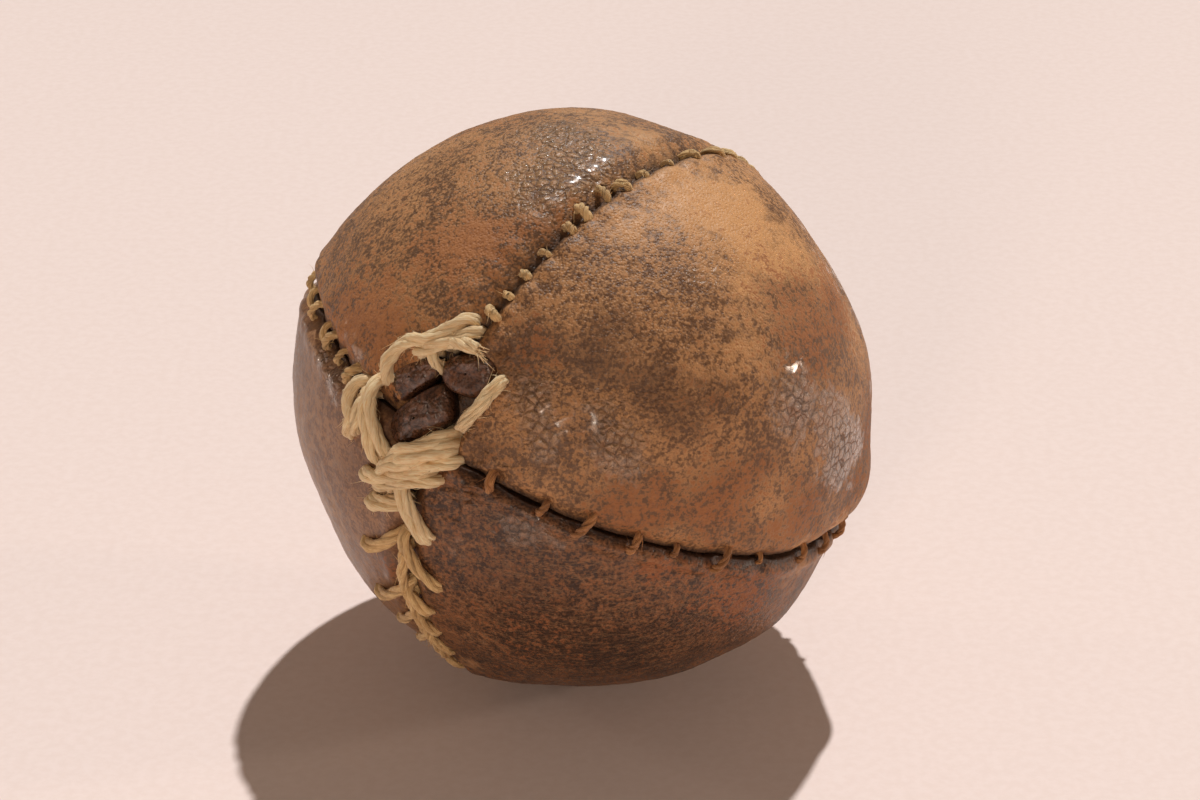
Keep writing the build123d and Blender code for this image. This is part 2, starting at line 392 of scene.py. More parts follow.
def add_mesh(name: str, points: np.ndarray, faces: np.ndarray, values: dict[str, np.ndarray],
             ends: list[np.ndarray] | None = None) -> bpy.types.Object:
    """Makes one mesh object from whole arrays, with its faces outward and smooth.

    Args:
        name: The piece's name.
        points: Vertices in millimetres, shape (n, 3).
        faces: Quads as vertex numbers, shape (m, 4).
        values: Vertex attributes by name, each of length n, or of shape (n, 2) for a UV map.
        ends: Rings of vertex numbers that are closed with one face each.

    Returns:
        The new object, linked to the scene.
    """
    mesh = bpy.data.meshes.new(name)
    rings = [ring.tolist() for ring in (ends or [])]
    mesh.from_pydata((points * MM).tolist(), [], faces.tolist() + rings)
    mesh.update()
    for label, value in values.items():
        if value.ndim == 2:
            uv = mesh.uv_layers.new(name=label)
            corners = np.empty(len(mesh.loops), dtype=np.int32)
            mesh.loops.foreach_get("vertex_index", corners)
            uv.data.foreach_set("uv", value[corners].astype(np.float32).ravel())
        else:
            layer = mesh.attributes.new(label, "FLOAT", "POINT")
            layer.data.foreach_set("value", value.astype(np.float32))
    a, b, c = (points[faces[:, k]] for k in range(3))
    d = points[faces[:, 3]]
    volume = np.einsum("ij,ij->i", a, np.cross(b, c)).sum() + np.einsum("ij,ij->i", a, np.cross(c, d)).sum()
    if volume < 0:
        mesh.flip_normals()
    mesh.polygons.foreach_set("use_smooth", np.ones(len(mesh.polygons), dtype=bool))
    piece = bpy.data.objects.new(name, mesh)
    bpy.context.scene.collection.objects.link(piece)
    return piece


def tube_faces(rows: int, columns: int) -> np.ndarray:
    """Quads of a grid that is closed across its columns and open along its rows."""
    number = np.arange(rows * columns).reshape(rows, columns)
    after = np.roll(number, -1, axis=1)
    return np.stack([number[:-1], after[:-1], after[1:], number[1:]], axis=-1).reshape(-1, 4)


def finish_piece(piece: bpy.types.Object, nodes: tuple[str, ...],
                 material: bpy.types.Material) -> None:
    """Dresses a piece, stands it for its CAD nodes and sets it on the ball's one body."""
    piece.data.materials.append(material)
    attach(piece, ROOT)
    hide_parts(*nodes)
    LOG.info("%s: %d faces, for %s", piece.name, len(piece.data.polygons), ", ".join(nodes))


# ---------------------------------------------------------------- the leather cover

@dataclass
class Cover:
    """Shape of the stuffed cover: every panel's outer face, whose lumps its neighbours share.

    Args:
        ball: The ball's frame.
        grain: Depth of the leather's broad grain in millimetres.
    """

    ball: BallFrame
    grain: float = 0.07
    plans: dict[Seam, list[Stitch]] = field(default_factory=dict)

    def __post_init__(self) -> None:
        """Works out every seam's stitches."""
        for number, (seam, plan) in enumerate(SEAM_PLANS.items()):
            self.plans[seam] = plan.all(seed=40 + number)

    def lumps(self, way: np.ndarray) -> np.ndarray:
        """Height of the ball's lumps: bells of the angle from each one's middle, and a soft unevenness."""
        total = 0.28 * cloud(way * BALL_RADIUS, 16.0, 3, 2)
        for lump in LUMPS:
            angle = np.degrees(np.arccos(np.clip(way @ lump.way(), -1, 1)))
            total = total + lump.height * np.exp(-(angle / lump.reach) ** 2)
        return total

    def smooth(self, longitude: np.ndarray, polar: np.ndarray) -> np.ndarray:
        """Radius of the cover anywhere, without its edges, its well and its grain."""
        way = self.ball.way(longitude, polar)
        radius = self.lumps(way)
        for panel in Panel:
            first, last = BallFrame.span(panel)
            inside = (np.asarray(longitude) - first) % 360 < last - first
            radius = radius + np.where(inside, self.ball.skin(way, panel), 0.0)
        return radius

    def beside(self, seam: Seam, longitude: np.ndarray, polar: np.ndarray) -> np.ndarray:
        """Millimetres round the ball from a seam's line, positive towards larger longitudes."""
        turn = (longitude - seam.value + 180) % 360 - 180
        return np.radians(turn) * np.sin(np.radians(polar)) * BALL_RADIUS

    def stitch_pull(self, seam: Seam, polar: np.ndarray) -> np.ndarray:
        """From 1 at a stitch to 0 between stitches: the largest of bells at each stitch."""
        pull = np.zeros(np.shape(polar))
        for stitch in self.plans[seam]:
            away = np.radians(polar - stitch.polar - stitch.lean / 2) * BALL_RADIUS
            pull = np.maximum(pull, np.exp(-(away / 1.1) ** 2))
        return pull

    def edge_height(self, panel: Panel, seam: Seam, away: np.ndarray, polar: np.ndarray) -> np.ndarray:
        """Height of a panel beside a seam: a turned-down edge, a welt and a hollow at each stitch."""
        edge = EDGES[panel, seam]
        pull = self.stitch_pull(seam, polar)
        height = -edge.drop * np.exp(-(away / edge.width) ** 2)
        height += edge.lip * (1 - 0.7 * pull) * np.exp(-((away - edge.lip_at) / edge.lip_width) ** 2)
        return height - edge.pucker * pull * np.exp(-(away / (edge.width + 0.8)) ** 2)

    def radius(self, panel: Panel, longitude: np.ndarray, polar: np.ndarray, fine: bool = True) -> np.ndarray:
        """Radius of a panel's outer face in millimetres.

        Args:
            panel: The panel.
            longitude: Degrees from the right seam.
            polar: Degrees from the front pole.
            fine: Whether the grain and the crumpled tips are added.

        Returns:
            One radius for each place.
        """
        way = self.ball.way(longitude, polar)
        radius = self.ball.skin(way, panel) + self.lumps(way)
        for seam in PANEL_SEAMS[panel]:
            away = np.abs(self.beside(seam, longitude, polar))
            radius = radius + self.edge_height(panel, seam, away, polar)
        radius = radius - CLOSING_WELL.depth_at(longitude, polar)
        if fine:
            points = way * BALL_RADIUS
            radius = radius + self.grain * cloud(points, 3.2, 11, 3)
            radius = radius + 0.035 * cloud(points, 1.1, 23, 2)
            crumple = spread(self.ball, CRUMPLES, way, cloud(points, 6.0, 31, 2))
            folds = 1 - 2 * np.abs(cloud(points * np.array([1.0, 1.0, 1.6]), 3.4, 57, 2))
            radius = radius + 0.55 * np.clip(crumple, 0, 1) * folds
        return radius


@dataclass(frozen=True)
class Well:
    """Hollow of the filling slot at the front pole, which the folded tabs lie in.

    Args:
        half_width: Millimetres to each side of its line.
        start: Where it starts along that line, from the pole.
        stop: Where it ends.
        depth: Millimetres below the leather.
    """

    half_width: float
    start: float
    stop: float
    depth: float

    def depth_at(self, longitude: np.ndarray, polar: np.ndarray) -> np.ndarray:
        """Depth at each place: a flat floor with eased sides."""
        lon = np.radians(longitude - Seam.UPPER.value)
        out = BALL_RADIUS * np.sin(np.radians(polar))
        across, along = out * np.sin(lon), out * np.cos(lon)
        inside = ease(self.half_width - np.abs(across), -1.0, 1.0)
        inside = inside * ease(along, self.start - 1, self.start + 1)
        inside = inside * ease(-along, -self.stop - 1, 1 - self.stop)
        return np.where(np.asarray(polar) < 90, self.depth * inside, 0.0)


CLOSING_WELL = Well(4.6, -2.5, 12.5, 2.4)
CRUMPLES = (Spot(340, 13, 5.0, 1.1), Spot(8, 14, 3.5, 0.6), Spot(310, 14, 3.5, 0.7), Spot(75, 24, 4.0, 0.6),
            Spot(215, 12, 4.0, 0.4))


@dataclass(frozen=True)
class Weathering:
    """Where a panel is dark, glazed, rusty or pale.

    Args:
        dark: Dark stains.
        glaze: Glossy islands of old finish, crackled, whose grey tint is partly painted sheen.
        rust: Orange granular wear.
        pale: Rubbed places.
    """

    dark: tuple[Spot, ...] = ()
    glaze: tuple[Spot, ...] = ()
    rust: tuple[Spot, ...] = ()
    pale: tuple[Spot, ...] = ()


WEATHERING: dict[Panel, Weathering] = {
    Panel.RIGHT: Weathering(
        dark=(Spot(54, 39, 8, 0.8), Spot(62, 46, 6, 0.6), Spot(39, 48, 8, 0.6), Spot(67, 24, 7, 0.9),
              Spot(22, 13, 8, 0.6), Spot(31, 55, 7, 0.5), Spot(61, 62, 6, 0.35), Spot(40, 140, 25, 0.5)),
        glaze=(Spot(49, 25, 5, 1.2), Spot(31, 26, 5, 0.7), Spot(27, 40, 6, 1.1), Spot(39, 37, 5, 0.6),
               Spot(34, 76, 7, 0.9),
               Spot(23, 94, 9, 1.2), Spot(61, 64, 8, 0.35), Spot(58, 115, 12, 0.5), Spot(35, 125, 10, 0.5)),
        rust=(Spot(9, 42, 8, 0.8), Spot(15, 61, 10, 0.8), Spot(10, 84, 10, 0.7), Spot(47, 84, 12, 0.8),
              Spot(50, 99, 8, 0.8), Spot(67, 30, 6, 0.5), Spot(20, 115, 14, 0.7), Spot(70, 130, 14, 0.5)),
        pale=(Spot(78, 76, 13, 0.9), Spot(63, 90, 13, 0.7), Spot(46, 67, 9, 0.55), Spot(82, 60, 7, 0.4),
              Spot(45, 103, 9, 0.6), Spot(2, 88, 4, 0.8), Spot(1, 105, 5, 0.9), Spot(60, 145, 20, 0.3))),
    Panel.UPPER: Weathering(
        dark=(Spot(135, 60, 10, 0.35), Spot(107, 28, 6, 0.6), Spot(159, 44, 8, 0.4), Spot(98, 45, 4, 0.6),
              Spot(150, 130, 25, 0.5), Spot(120, 95, 12, 0.4)),
        glaze=(Spot(101, 66, 7, 1.0), Spot(102, 55, 6, 0.9), Spot(97, 61, 4, 1.1), Spot(112, 72, 8, 0.6),
               Spot(172, 22, 4, 0.7), Spot(140, 110, 14, 0.6)),
        rust=(Spot(147, 22, 9, 0.8), Spot(121, 37, 8, 0.7), Spot(108, 41, 6, 0.8), Spot(95, 50, 5, 0.5),
              Spot(165, 32, 8, 0.6), Spot(132, 84, 10, 0.5), Spot(110, 140, 16, 0.5)),
        pale=(Spot(97, 80, 8, 0.7), Spot(150, 62, 12, 0.35), Spot(115, 84, 9, 0.4))),
    Panel.LEFT: Weathering(
        dark=(Spot(230, 20, 8, 0.5), Spot(270, 30, 6, 0.6), Spot(240, 120, 30, 0.4)),
        glaze=(Spot(190, 26, 4, 0.8), Spot(186, 34, 4, 0.7)),
        rust=(Spot(272, 33, 3, 0.9), Spot(200, 70, 14, 0.3), Spot(250, 90, 14, 0.3)),
        pale=(Spot(215, 32, 14, 0.3), Spot(240, 42, 12, 0.3))),
    Panel.LOWER: Weathering(
        dark=(Spot(325, 37, 12, 0.7), Spot(323, 62, 14, 0.9), Spot(340, 75, 12, 0.5),
              Spot(320, 120, 30, 0.6)),
        glaze=(Spot(346, 27, 4, 0.8), Spot(350, 34, 3, 0.5), Spot(312, 22, 4, 0.4)),
        rust=(Spot(354, 53, 3, 1.0), Spot(354, 72, 8, 0.7), Spot(349, 80, 6, 0.6), Spot(315, 46, 12, 0.3),
              Spot(356, 60, 5, 0.5)),
        pale=(Spot(357, 92, 7, 0.5), Spot(290, 60, 4, 0.6), Spot(288, 72, 4, 0.6), Spot(300, 47, 7, 0.35),
              Spot(357, 108, 6, 0.6))),
}


@dataclass
class Gore:
    """One leather gore as a closed shell: a ring of face, edge, lining and edge, carried from pole to pole.

    Args:
        cover: The shape that it follows.
        panel: Which gore.
        columns: Points across the outer face.
        rows: Rings from pole to pole.
        lining_columns: Points across the lining.
        wall_rows: Points down each cut edge.
    """

    cover: Cover
    panel: Panel
    columns: int = 236
    rows: int = 340
    lining_columns: int = 14
    wall_rows: int = 4

    def across(self, polar: np.ndarray, share: np.ndarray, inset: float = 0.0) -> np.ndarray:
        """Longitudes across the gore at each row, between its two cut edges."""
        first, last = BallFrame.span(self.panel)
        radius = BALL_RADIUS * np.sin(np.radians(polar))
        sides = []
        for number, seam in enumerate(PANEL_SEAMS[self.panel]):
            edge = EDGES[self.panel, seam]
            along = np.stack([polar * 0.6, 0 * polar + seam.value, 0 * polar], -1)
            wave = 0.16 * cloud(along, 5.0, 71 + number, 2)
            gap = edge.gap + inset + wave * (inset == 0) - 0.1 * self.cover.stitch_pull(seam, polar)
            sides.append(np.degrees(np.clip(gap, 0.04, None) / radius))
        low, high = first + sides[0], last - sides[1]
        return low + (high - low) * share

    def build(self) -> bpy.types.Object:
        """Works out the rings and their weathering, and makes the mesh."""
        even = np.linspace(0, 1, self.columns)
        share = 0.72 * even + 0.28 * (0.5 - 0.5 * np.cos(math.pi * even))
        polar = np.linspace(3.0, 177.0, self.rows)[:, None]
        ball = self.cover.ball
        outer_lon = self.across(polar, share[None, :])
        outer = self.cover.radius(self.panel, outer_lon, polar)
        lining_share = np.linspace(1, 0, self.lining_columns)
        lining_lon = self.across(polar, lining_share[None, :])
        way = ball.way(lining_lon, polar)
        lining = ball.skin(way, self.panel) + self.cover.lumps(way) - LEATHER
        lining = lining - CLOSING_WELL.depth_at(lining_lon, polar)
        down = np.linspace(0, 1, self.wall_rows + 2)[1:-1]

        def wall(edge: np.ndarray, foot: np.ndarray) -> np.ndarray:
            """Radii down a cut edge, from the outer face to the lining."""
            return edge[:, None] + (foot - edge)[:, None] * down[None, :]

        lon = np.concatenate([outer_lon, np.repeat(outer_lon[:, -1:], len(down), 1), lining_lon,
                              np.repeat(outer_lon[:, :1], len(down), 1)], axis=1)
        radius = np.concatenate([outer, wall(outer[:, -1], lining[:, 0]), lining,
                                 wall(outer[:, 0], lining[:, -1])[:, ::-1]], axis=1)
        ways = ball.way(lon, polar)
        points = ball.place(ways, radius)
        points[..., 2] = np.maximum(points[..., 2], 0.0)
        count = points.shape[1]
        ends = [np.arange(count), np.arange(count) + (self.rows - 1) * count]
        return add_mesh(self.panel.value + "_gore", points.reshape(-1, 3), tube_faces(self.rows, count),
                        self.weathering(ways, lon, polar), ends)

    def weathering(self, ways: np.ndarray, lon: np.ndarray, polar: np.ndarray) -> dict[str, np.ndarray]:
        """Strength of each kind of wear at every vertex, with ragged borders, and of the painted shade beside
        the seams and in the closing's well.
        """
        ball = self.cover.ball
        worn = WEATHERING[self.panel]
        points = ways * BALL_RADIUS
        ragged = cloud(points, 5.0, 91, 3)
        values = {label: spread(ball, getattr(worn, label), ways, ragged).ravel()
                  for label in ("dark", "glaze", "rust", "pale")}
        # Painted shade: the leather darkens over each seam's turned-down edge and in the closing's well,
        # where shade falls.
        near = [np.abs(self.cover.beside(seam, lon, polar)) for seam in PANEL_SEAMS[self.panel]]
        drops = [EDGES[self.panel, seam].width for seam in PANEL_SEAMS[self.panel]]
        painted_shade = np.maximum(*[np.exp(-(away / (0.45 + 0.55 * width)) ** 2)
                             for away, width in zip(near, drops)])
        well = CLOSING_WELL.depth_at(lon, polar) / CLOSING_WELL.depth
        values["painted_shade"] = np.broadcast_to(np.maximum(painted_shade, 1.1 * well), points.shape[:-1]).ravel()
        return values


@dataclass
class WoolPad:
    """Packed wool under one panel: a closed ring of lumpy outer face and smooth inner face."""

    cover: Cover
    panel: Panel
    inset: float = 3.1
    columns: int = 40
    rows: int = 90

    def build(self) -> bpy.types.Object:
        """Works out the rings between the lining and the twine's channel, and makes the mesh."""
        ball = self.cover.ball
        polar = np.linspace(24.0, 172.0, self.rows)[:, None]
        share = np.linspace(0, 1, self.columns)[None, :]
        gore = Gore(self.cover, self.panel)
        lon = gore.across(polar, share, self.inset)
        way = ball.way(lon, polar)
        outer = ball.skin(way, self.panel) + self.cover.lumps(way) - LEATHER - 0.25
        outer = outer + 0.12 * cloud(way * BALL_RADIUS, 2.0, 5, 3)
        inner = np.full_like(outer, WOOL_RADIUS) + 0.3
        radius = np.concatenate([np.maximum(outer, inner + 0.5), inner[:, ::-1]], axis=1)
        lon = np.concatenate([lon, lon[:, ::-1]], axis=1)
        points = ball.place(ball.way(lon, polar), radius)
        count = points.shape[1]
        ends = [np.arange(count), np.arange(count) + (self.rows - 1) * count]
        return add_mesh(self.panel.value + "_packing", points.reshape(-1, 3), tube_faces(self.rows, count),
                        {}, ends)


WOOL_RADIUS = 31.4
YARN_RADIUS = 27.0
CORE_RADIUS = 11.0


@dataclass
class RoundLayer:
    """A round inner piece: a full ball, or a hollow one round the layer inside it.

    Args:
        ball: The ball's frame.
        name: The piece's name.
        radius: Outer radius in millimetres.
        hollow: Inner radius, or 0 for a full ball.
        roughness: Height of its surface in millimetres.
        wound: Whether it shows turns of yarn.
    """

    ball: BallFrame
    name: str
    radius: float
    hollow: float
    roughness: float
    wound: bool = False

    def relief(self, way: np.ndarray) -> np.ndarray:
        """Height from -1 to 1: turns of yarn on bands that cross each other, or plain crumbs."""
        if not self.wound:
            return cloud(way * self.radius, 2.2, 13, 3)
        best = np.full(way.shape[:-1], -2.0)
        rng = np.random.default_rng(8)
        for _ in range(9):
            axis = rng.normal(size=3)
            axis /= np.linalg.norm(axis)
            height = (way @ axis) * self.radius
            band = 1 - (np.abs(height) / 9.0) ** 2
            turns = np.cos(2 * math.pi * height / 1.5) * 0.5
            best = np.maximum(best, np.where(band > 0, band + turns, -2.0))
        return np.clip(best, -1, 1.5)

    def build(self) -> bpy.types.Object:
        """Makes the outer face, and for a hollow piece the inner one, from rows of rings."""
        rows, columns = (150, 300) if self.wound else (90, 160)
        polar = np.linspace(0.6, 179.4, rows)[:, None]
        lon = np.linspace(0, 360, columns, endpoint=False)[None, :]
        way = self.ball.way(lon, polar)
        outer = self.ball.place(way, self.radius - self.roughness + self.roughness * self.relief(way))
        piece = self.shell(self.name, outer, rows, columns)
        if self.hollow:
            points = self.ball.place(way, np.full(way.shape[:-1], self.hollow))
            inner = self.shell(self.name + "_inside", points, rows, columns)
            inner.data.flip_normals()
            join([piece, inner])
        return piece

    @staticmethod
    def shell(name: str, points: np.ndarray, rows: int, columns: int) -> bpy.types.Object:
        """Closed round mesh from its rings."""
        ends = [np.arange(columns), np.arange(columns) + (rows - 1) * columns]
        return add_mesh(name, points.reshape(-1, 3), tube_faces(rows, columns), {}, ends)


def join(pieces: list[bpy.types.Object]) -> bpy.types.Object:
    """Joins objects into the first one."""
    with bpy.context.temp_override(active_object=pieces[0], selected_editable_objects=pieces,
                                   selected_objects=pieces, object=pieces[0]):
        bpy.ops.object.join()
    return pieces[0]


# ---------------------------------------------------------------- twine and cord

def spline(controls: np.ndarray, step: float) -> np.ndarray:
    """Clamped quadratic B-spline: one parabola for each inner control point, between its sides' middles.

    Args:
        controls: Control rows, shape (n, k), whose first three columns are a place in millimetres.
        step: Millimetres between samples, about.

    Returns:
        Samples in order, shape (m, k).
    """
    middles = (controls[:-1] + controls[1:]) / 2
    starts = np.concatenate([controls[:1], middles[1:-1]])
    stops = np.concatenate([middles[1:-1], controls[-1:]])
    reach = np.linalg.norm(controls[1:, :3] - controls[:-1, :3], axis=1).mean()
    count = max(4, int(math.ceil(reach / step)))
    t = (np.arange(count) / count)[None, :, None]
    rows = (1 - t) ** 2 * starts[:, None] + 2 * t * (1 - t) * controls[1:-1, None] + t ** 2 * stops[:, None]
    return np.concatenate([rows.reshape(-1, controls.shape[1]), controls[-1:]])


@dataclass(frozen=True)
class Strand:
    """One strand, by points (longitude, polar angle, height of its middle over the leather).

    Args:
        route: The control points of its spline.
        thickness: Diameter in millimetres.
        frayed: Whether its last end spreads into loose fibres.
        buried: Whether both ends go in through the cover.
    """

    route: tuple[tuple[float, float, float], ...]
    thickness: float
    frayed: bool = False
    buried: bool = True


@dataclass
class Bundle:
    """Vertices, quads, UVs along the fibres, and end caps of one strand or tuft."""

    points: np.ndarray
    faces: np.ndarray
    fibre: np.ndarray
    caps: list[np.ndarray]


@dataclass
class Spinner:
    """Lays twisted plies along strands, as rings carried along each ply, with a few loose fibres.

    Args:
        cover: The shape that the strands lie on.
        plies: Plies in each strand.
        ring: Points round each ply.
        twist: Length of one turn, in thicknesses.
        step: Millimetres between rings.
        fuzz: Loose fibres for each millimetre.
        seed: Number that picks the unevenness.
        inward: Millimetres that a buried end goes in through the cover.
    """

    cover: Cover
    plies: int = 3
    ring: int = 9
    twist: float = 7.5
    step: float = 0.3
    fuzz: float = 0.6
    seed: int = 5
    inward: float = 3.4

    def controls(self, strand: Strand) -> np.ndarray:
        """Control rows (x, y, z, thickness) of one strand, with its buried ends added."""
        lon, polar, lift = (np.array(column) for column in zip(*strand.route))
        way = self.cover.ball.way(lon, polar)
        points = self.cover.ball.place(way, self.cover.smooth(lon, polar) + lift)
        if strand.buried:
            first = points[0] - way[0] * self.inward
            last = points[-1] - way[-1] * self.inward
            tail = [] if strand.frayed else [last[None]]
            points = np.concatenate([first[None], points, *tail])
        return np.concatenate([points, np.full((len(points), 1), strand.thickness)], axis=1)

    def lay(self, controls: np.ndarray, frayed: bool = False) -> list[Bundle]:
        """Lays one strand: rings of every ply, loose fibres along it, and a tuft where its end is frayed.

        Each ply's middle goes round the strand's middle as a helix, and its ring is a circle with three
        shallow grooves. The strand's side direction is the normal of the plane that fits it best.

        Args:
            controls: Control rows (x, y, z, thickness).
            frayed: Whether the last end spreads into loose fibres.

        Returns:
            The solid plies, the fibres and any tuft.
        """
        self.seed += 1
        rng = np.random.default_rng(self.seed)
        rows = spline(controls, self.step)
        middle, thick = rows[:, :3], rows[:, 3]
        tangent = np.gradient(middle, axis=0)
        length = np.linalg.norm(tangent, axis=1)
        tangent /= length[:, None]
        run = np.cumsum(length)
        flat = np.linalg.svd(middle - middle.mean(axis=0), full_matrices=False)[2][2]
        side = flat - (tangent @ flat)[:, None] * tangent
        side /= np.linalg.norm(side, axis=1)[:, None]
        up = np.cross(tangent, side)
        bulge = 1 + 0.10 * cloud(middle, 1.7, self.seed, 2)
        ends = np.minimum(run - run[0], run[-1] - run)
        bulge = bulge * (0.35 + 0.65 * ease(ends, 0.0, 0.35)) if not frayed else bulge
        ply = np.arange(self.plies)[:, None]
        turns = run[None, :] / (self.twist * thick.mean()) + ply / self.plies + rng.uniform()
        lay_angle = 2 * math.pi * turns
        wander = 1 + 0.16 * cloud(np.stack([run[None, :] + 0 * ply, 9.0 * ply + 0 * run[None, :],
                                            0.0 * (run[None, :] + ply)], -1), 2.4, self.seed + 3, 2)
        off = (0.20 * thick * bulge)[None, :] * wander
        core = middle[None] + off[..., None] * (np.cos(lay_angle)[..., None] * side[None]
                                                + np.sin(lay_angle)[..., None] * up[None])
        turn = np.arange(self.ring) / self.ring
        angle = 2 * math.pi * turn[None, None, :] + lay_angle[..., None] * 0.8
        fat = (0.285 * thick * bulge)[None, :, None] * wander[..., None]
        fat = fat * (1 + 0.07 * np.cos(3 * angle + 5 * run[None, :, None] / thick.mean()))
        points = core[:, :, None, :] + fat[..., None] * (np.cos(angle)[..., None] * side[None, :, None, :]
                                                         + np.sin(angle)[..., None] * up[None, :, None, :])
        fibre = np.stack([np.broadcast_to(run[None, :, None], angle.shape),
                          np.broadcast_to(turn[None, None, :] + ply[..., None], angle.shape)], axis=-1)
        faces = []
        count = len(run) * self.ring
        grid = tube_faces(len(run), self.ring)
        ring = np.arange(self.ring)
        caps = []
        for number in range(self.plies):
            faces.append(grid + number * count)
            caps += [ring[::-1] + number * count, ring + number * count + count - self.ring]
        solid = Bundle(points.reshape(-1, 3), np.concatenate(faces), fibre.reshape(-1, 2), caps)
        amount = int(self.fuzz * (run[-1] - run[0]))
        at = rng.integers(1, len(run) - 1, amount)
        theta = rng.uniform(0, 2 * math.pi, amount)
        out = np.cos(theta)[:, None] * side[at] + np.sin(theta)[:, None] * up[at]
        aim = tangent[at] * rng.choice([-1, 1], amount)[:, None]
        aim = aim + out * rng.uniform(0.25, 0.8, amount)[:, None]
        root = middle[at] + out * (0.44 * thick[at])[:, None]
        hairs = self.hairs(root, aim, rng.uniform(0.5, 1.5, amount), rng)
        bundles = [solid, hairs]
        if frayed:
            tips = 26
            theta = rng.uniform(0, 2 * math.pi, tips)
            out = np.cos(theta)[:, None] * side[-1] + np.sin(theta)[:, None] * up[-1]
            root = middle[-1] - tangent[-1] * 0.5 + out * (rng.uniform(0, 0.4, tips) * thick[-1])[:, None]
            aim = tangent[-1] + out * rng.uniform(0.1, 0.7, tips)[:, None]
            bundles.append(self.hairs(root, aim, rng.uniform(0.9, 1.9, tips), rng, 0.11))
        return bundles

    def lay_all(self, strands: Iterable[Strand]) -> list[Bundle]:
        """Lays several strands, one after another."""
        bundles = []
        for strand in strands:
            bundles += self.lay(self.controls(strand), strand.frayed)
        return bundles

    @staticmethod
    def hairs(root: np.ndarray, aim: np.ndarray, length: np.ndarray,
              rng: np.random.Generator, thick: float = 0.05) -> Bundle:
        """Thin tapered fibres: three-sided tubes along parabolas that start along aim and bend by chance.

        Args:
            root: Where each starts.
            aim: Direction in which each starts.
            length: Length of each in millimetres.
            rng: Source of the bends.
            thick: Radius at the root in millimetres.

        Returns:
            All the fibres.
        """
        amount = len(root)
        aim = aim / np.linalg.norm(aim, axis=1)[:, None]
        bend = rng.normal(size=(amount, 3)) * 0.45
        t = np.linspace(0, 1, 6)[None, :, None]
        middle = root[:, None] + length[:, None, None] * (t * aim[:, None] + t ** 2 * bend[:, None])
        side = np.cross(aim, rng.normal(size=(amount, 3)))
        side /= np.linalg.norm(side, axis=1)[:, None]
        up = np.cross(aim, side)
        angle = np.arange(3) * 2 * math.pi / 3
        ring = np.cos(angle)[None, :, None] * side[:, None] + np.sin(angle)[None, :, None] * up[:, None]
        points = middle[:, :, None] + ring[:, None] * (thick * (1 - 0.75 * t[..., None]))
        grid = tube_faces(6, 3)
        faces = (grid[None] + 18 * np.arange(amount)[:, None, None]).reshape(-1, 4)
        starts = np.arange(amount) * 18
        caps = [np.array([a + 2, a + 1, a]) for a in starts]
        caps += [np.array([a + 15, a + 16, a + 17]) for a in starts]
        fibre = np.broadcast_to(t * 2, (amount, 6, 3))
        fibre = np.stack([fibre, fibre * 0 + 0.3], axis=-1)
        return Bundle(points.reshape(-1, 3), faces, fibre.reshape(-1, 2), caps)


def tie_up(name: str, bundles: list[Bundle]) -> bpy.types.Object:
    """Makes one piece of several bundles, none of them below the floor."""
    starts = np.cumsum([0] + [len(bundle.points) for bundle in bundles[:-1]])
    points = np.concatenate([bundle.points for bundle in bundles])
    points[:, 2] = np.maximum(points[:, 2], 0.02)
    faces = np.concatenate([bundle.faces + start for bundle, start in zip(bundles, starts)])
    caps = [cap + start for bundle, start in zip(bundles, starts) for cap in bundle.caps]
    fibre = np.concatenate([bundle.fibre for bundle in bundles])
    return add_mesh(name, points, faces, {"fibre": fibre}, caps)


@dataclass
class SeamTwine:
    """The twine of one seam: over the joint at each stitch, and back under the cover to the next."""

    cover: Cover
    seam: Seam
    thickness: float = 1.05

    def build(self) -> bpy.types.Object:
        """Lays the twine through every hole in turn."""
        before = next(panel for panel, pair in PANEL_SEAMS.items() if pair[1] is self.seam)
        after = next(panel for panel, pair in PANEL_SEAMS.items() if pair[0] is self.seam)
        rows = []
        for stitch in self.cover.plans[self.seam]:
            thick = self.thickness * stitch.plump
            ends = []
            for panel, away, polar in ((before, -stitch.before, stitch.polar),
                                       (after, stitch.after, stitch.polar + stitch.lean)):
                lon = self.seam.value + math.degrees(away / (BALL_RADIUS * math.sin(math.radians(polar))))
                way = self.cover.ball.way(lon, polar)
                height = float(self.cover.radius(panel, np.array(lon), np.array(polar), fine=False))
                ends.append((way, height + 0.42 * thick + 0.7 * stitch.proud))
            steps = ((*ends[0], True), (*ends[0], False), (*ends[1], False), (*ends[1], True))
            for way, height, inner in steps:
                point = self.cover.ball.place(way, np.array(height - (thick + 3.0) * inner))
                rows.append([*point, thick])
        spinner = Spinner(self.cover, ring=8, step=0.28, seed=200 + int(self.seam.value))
        return tie_up(self.seam.name.lower() + "_stitching", spinner.lay(np.array(rows)))


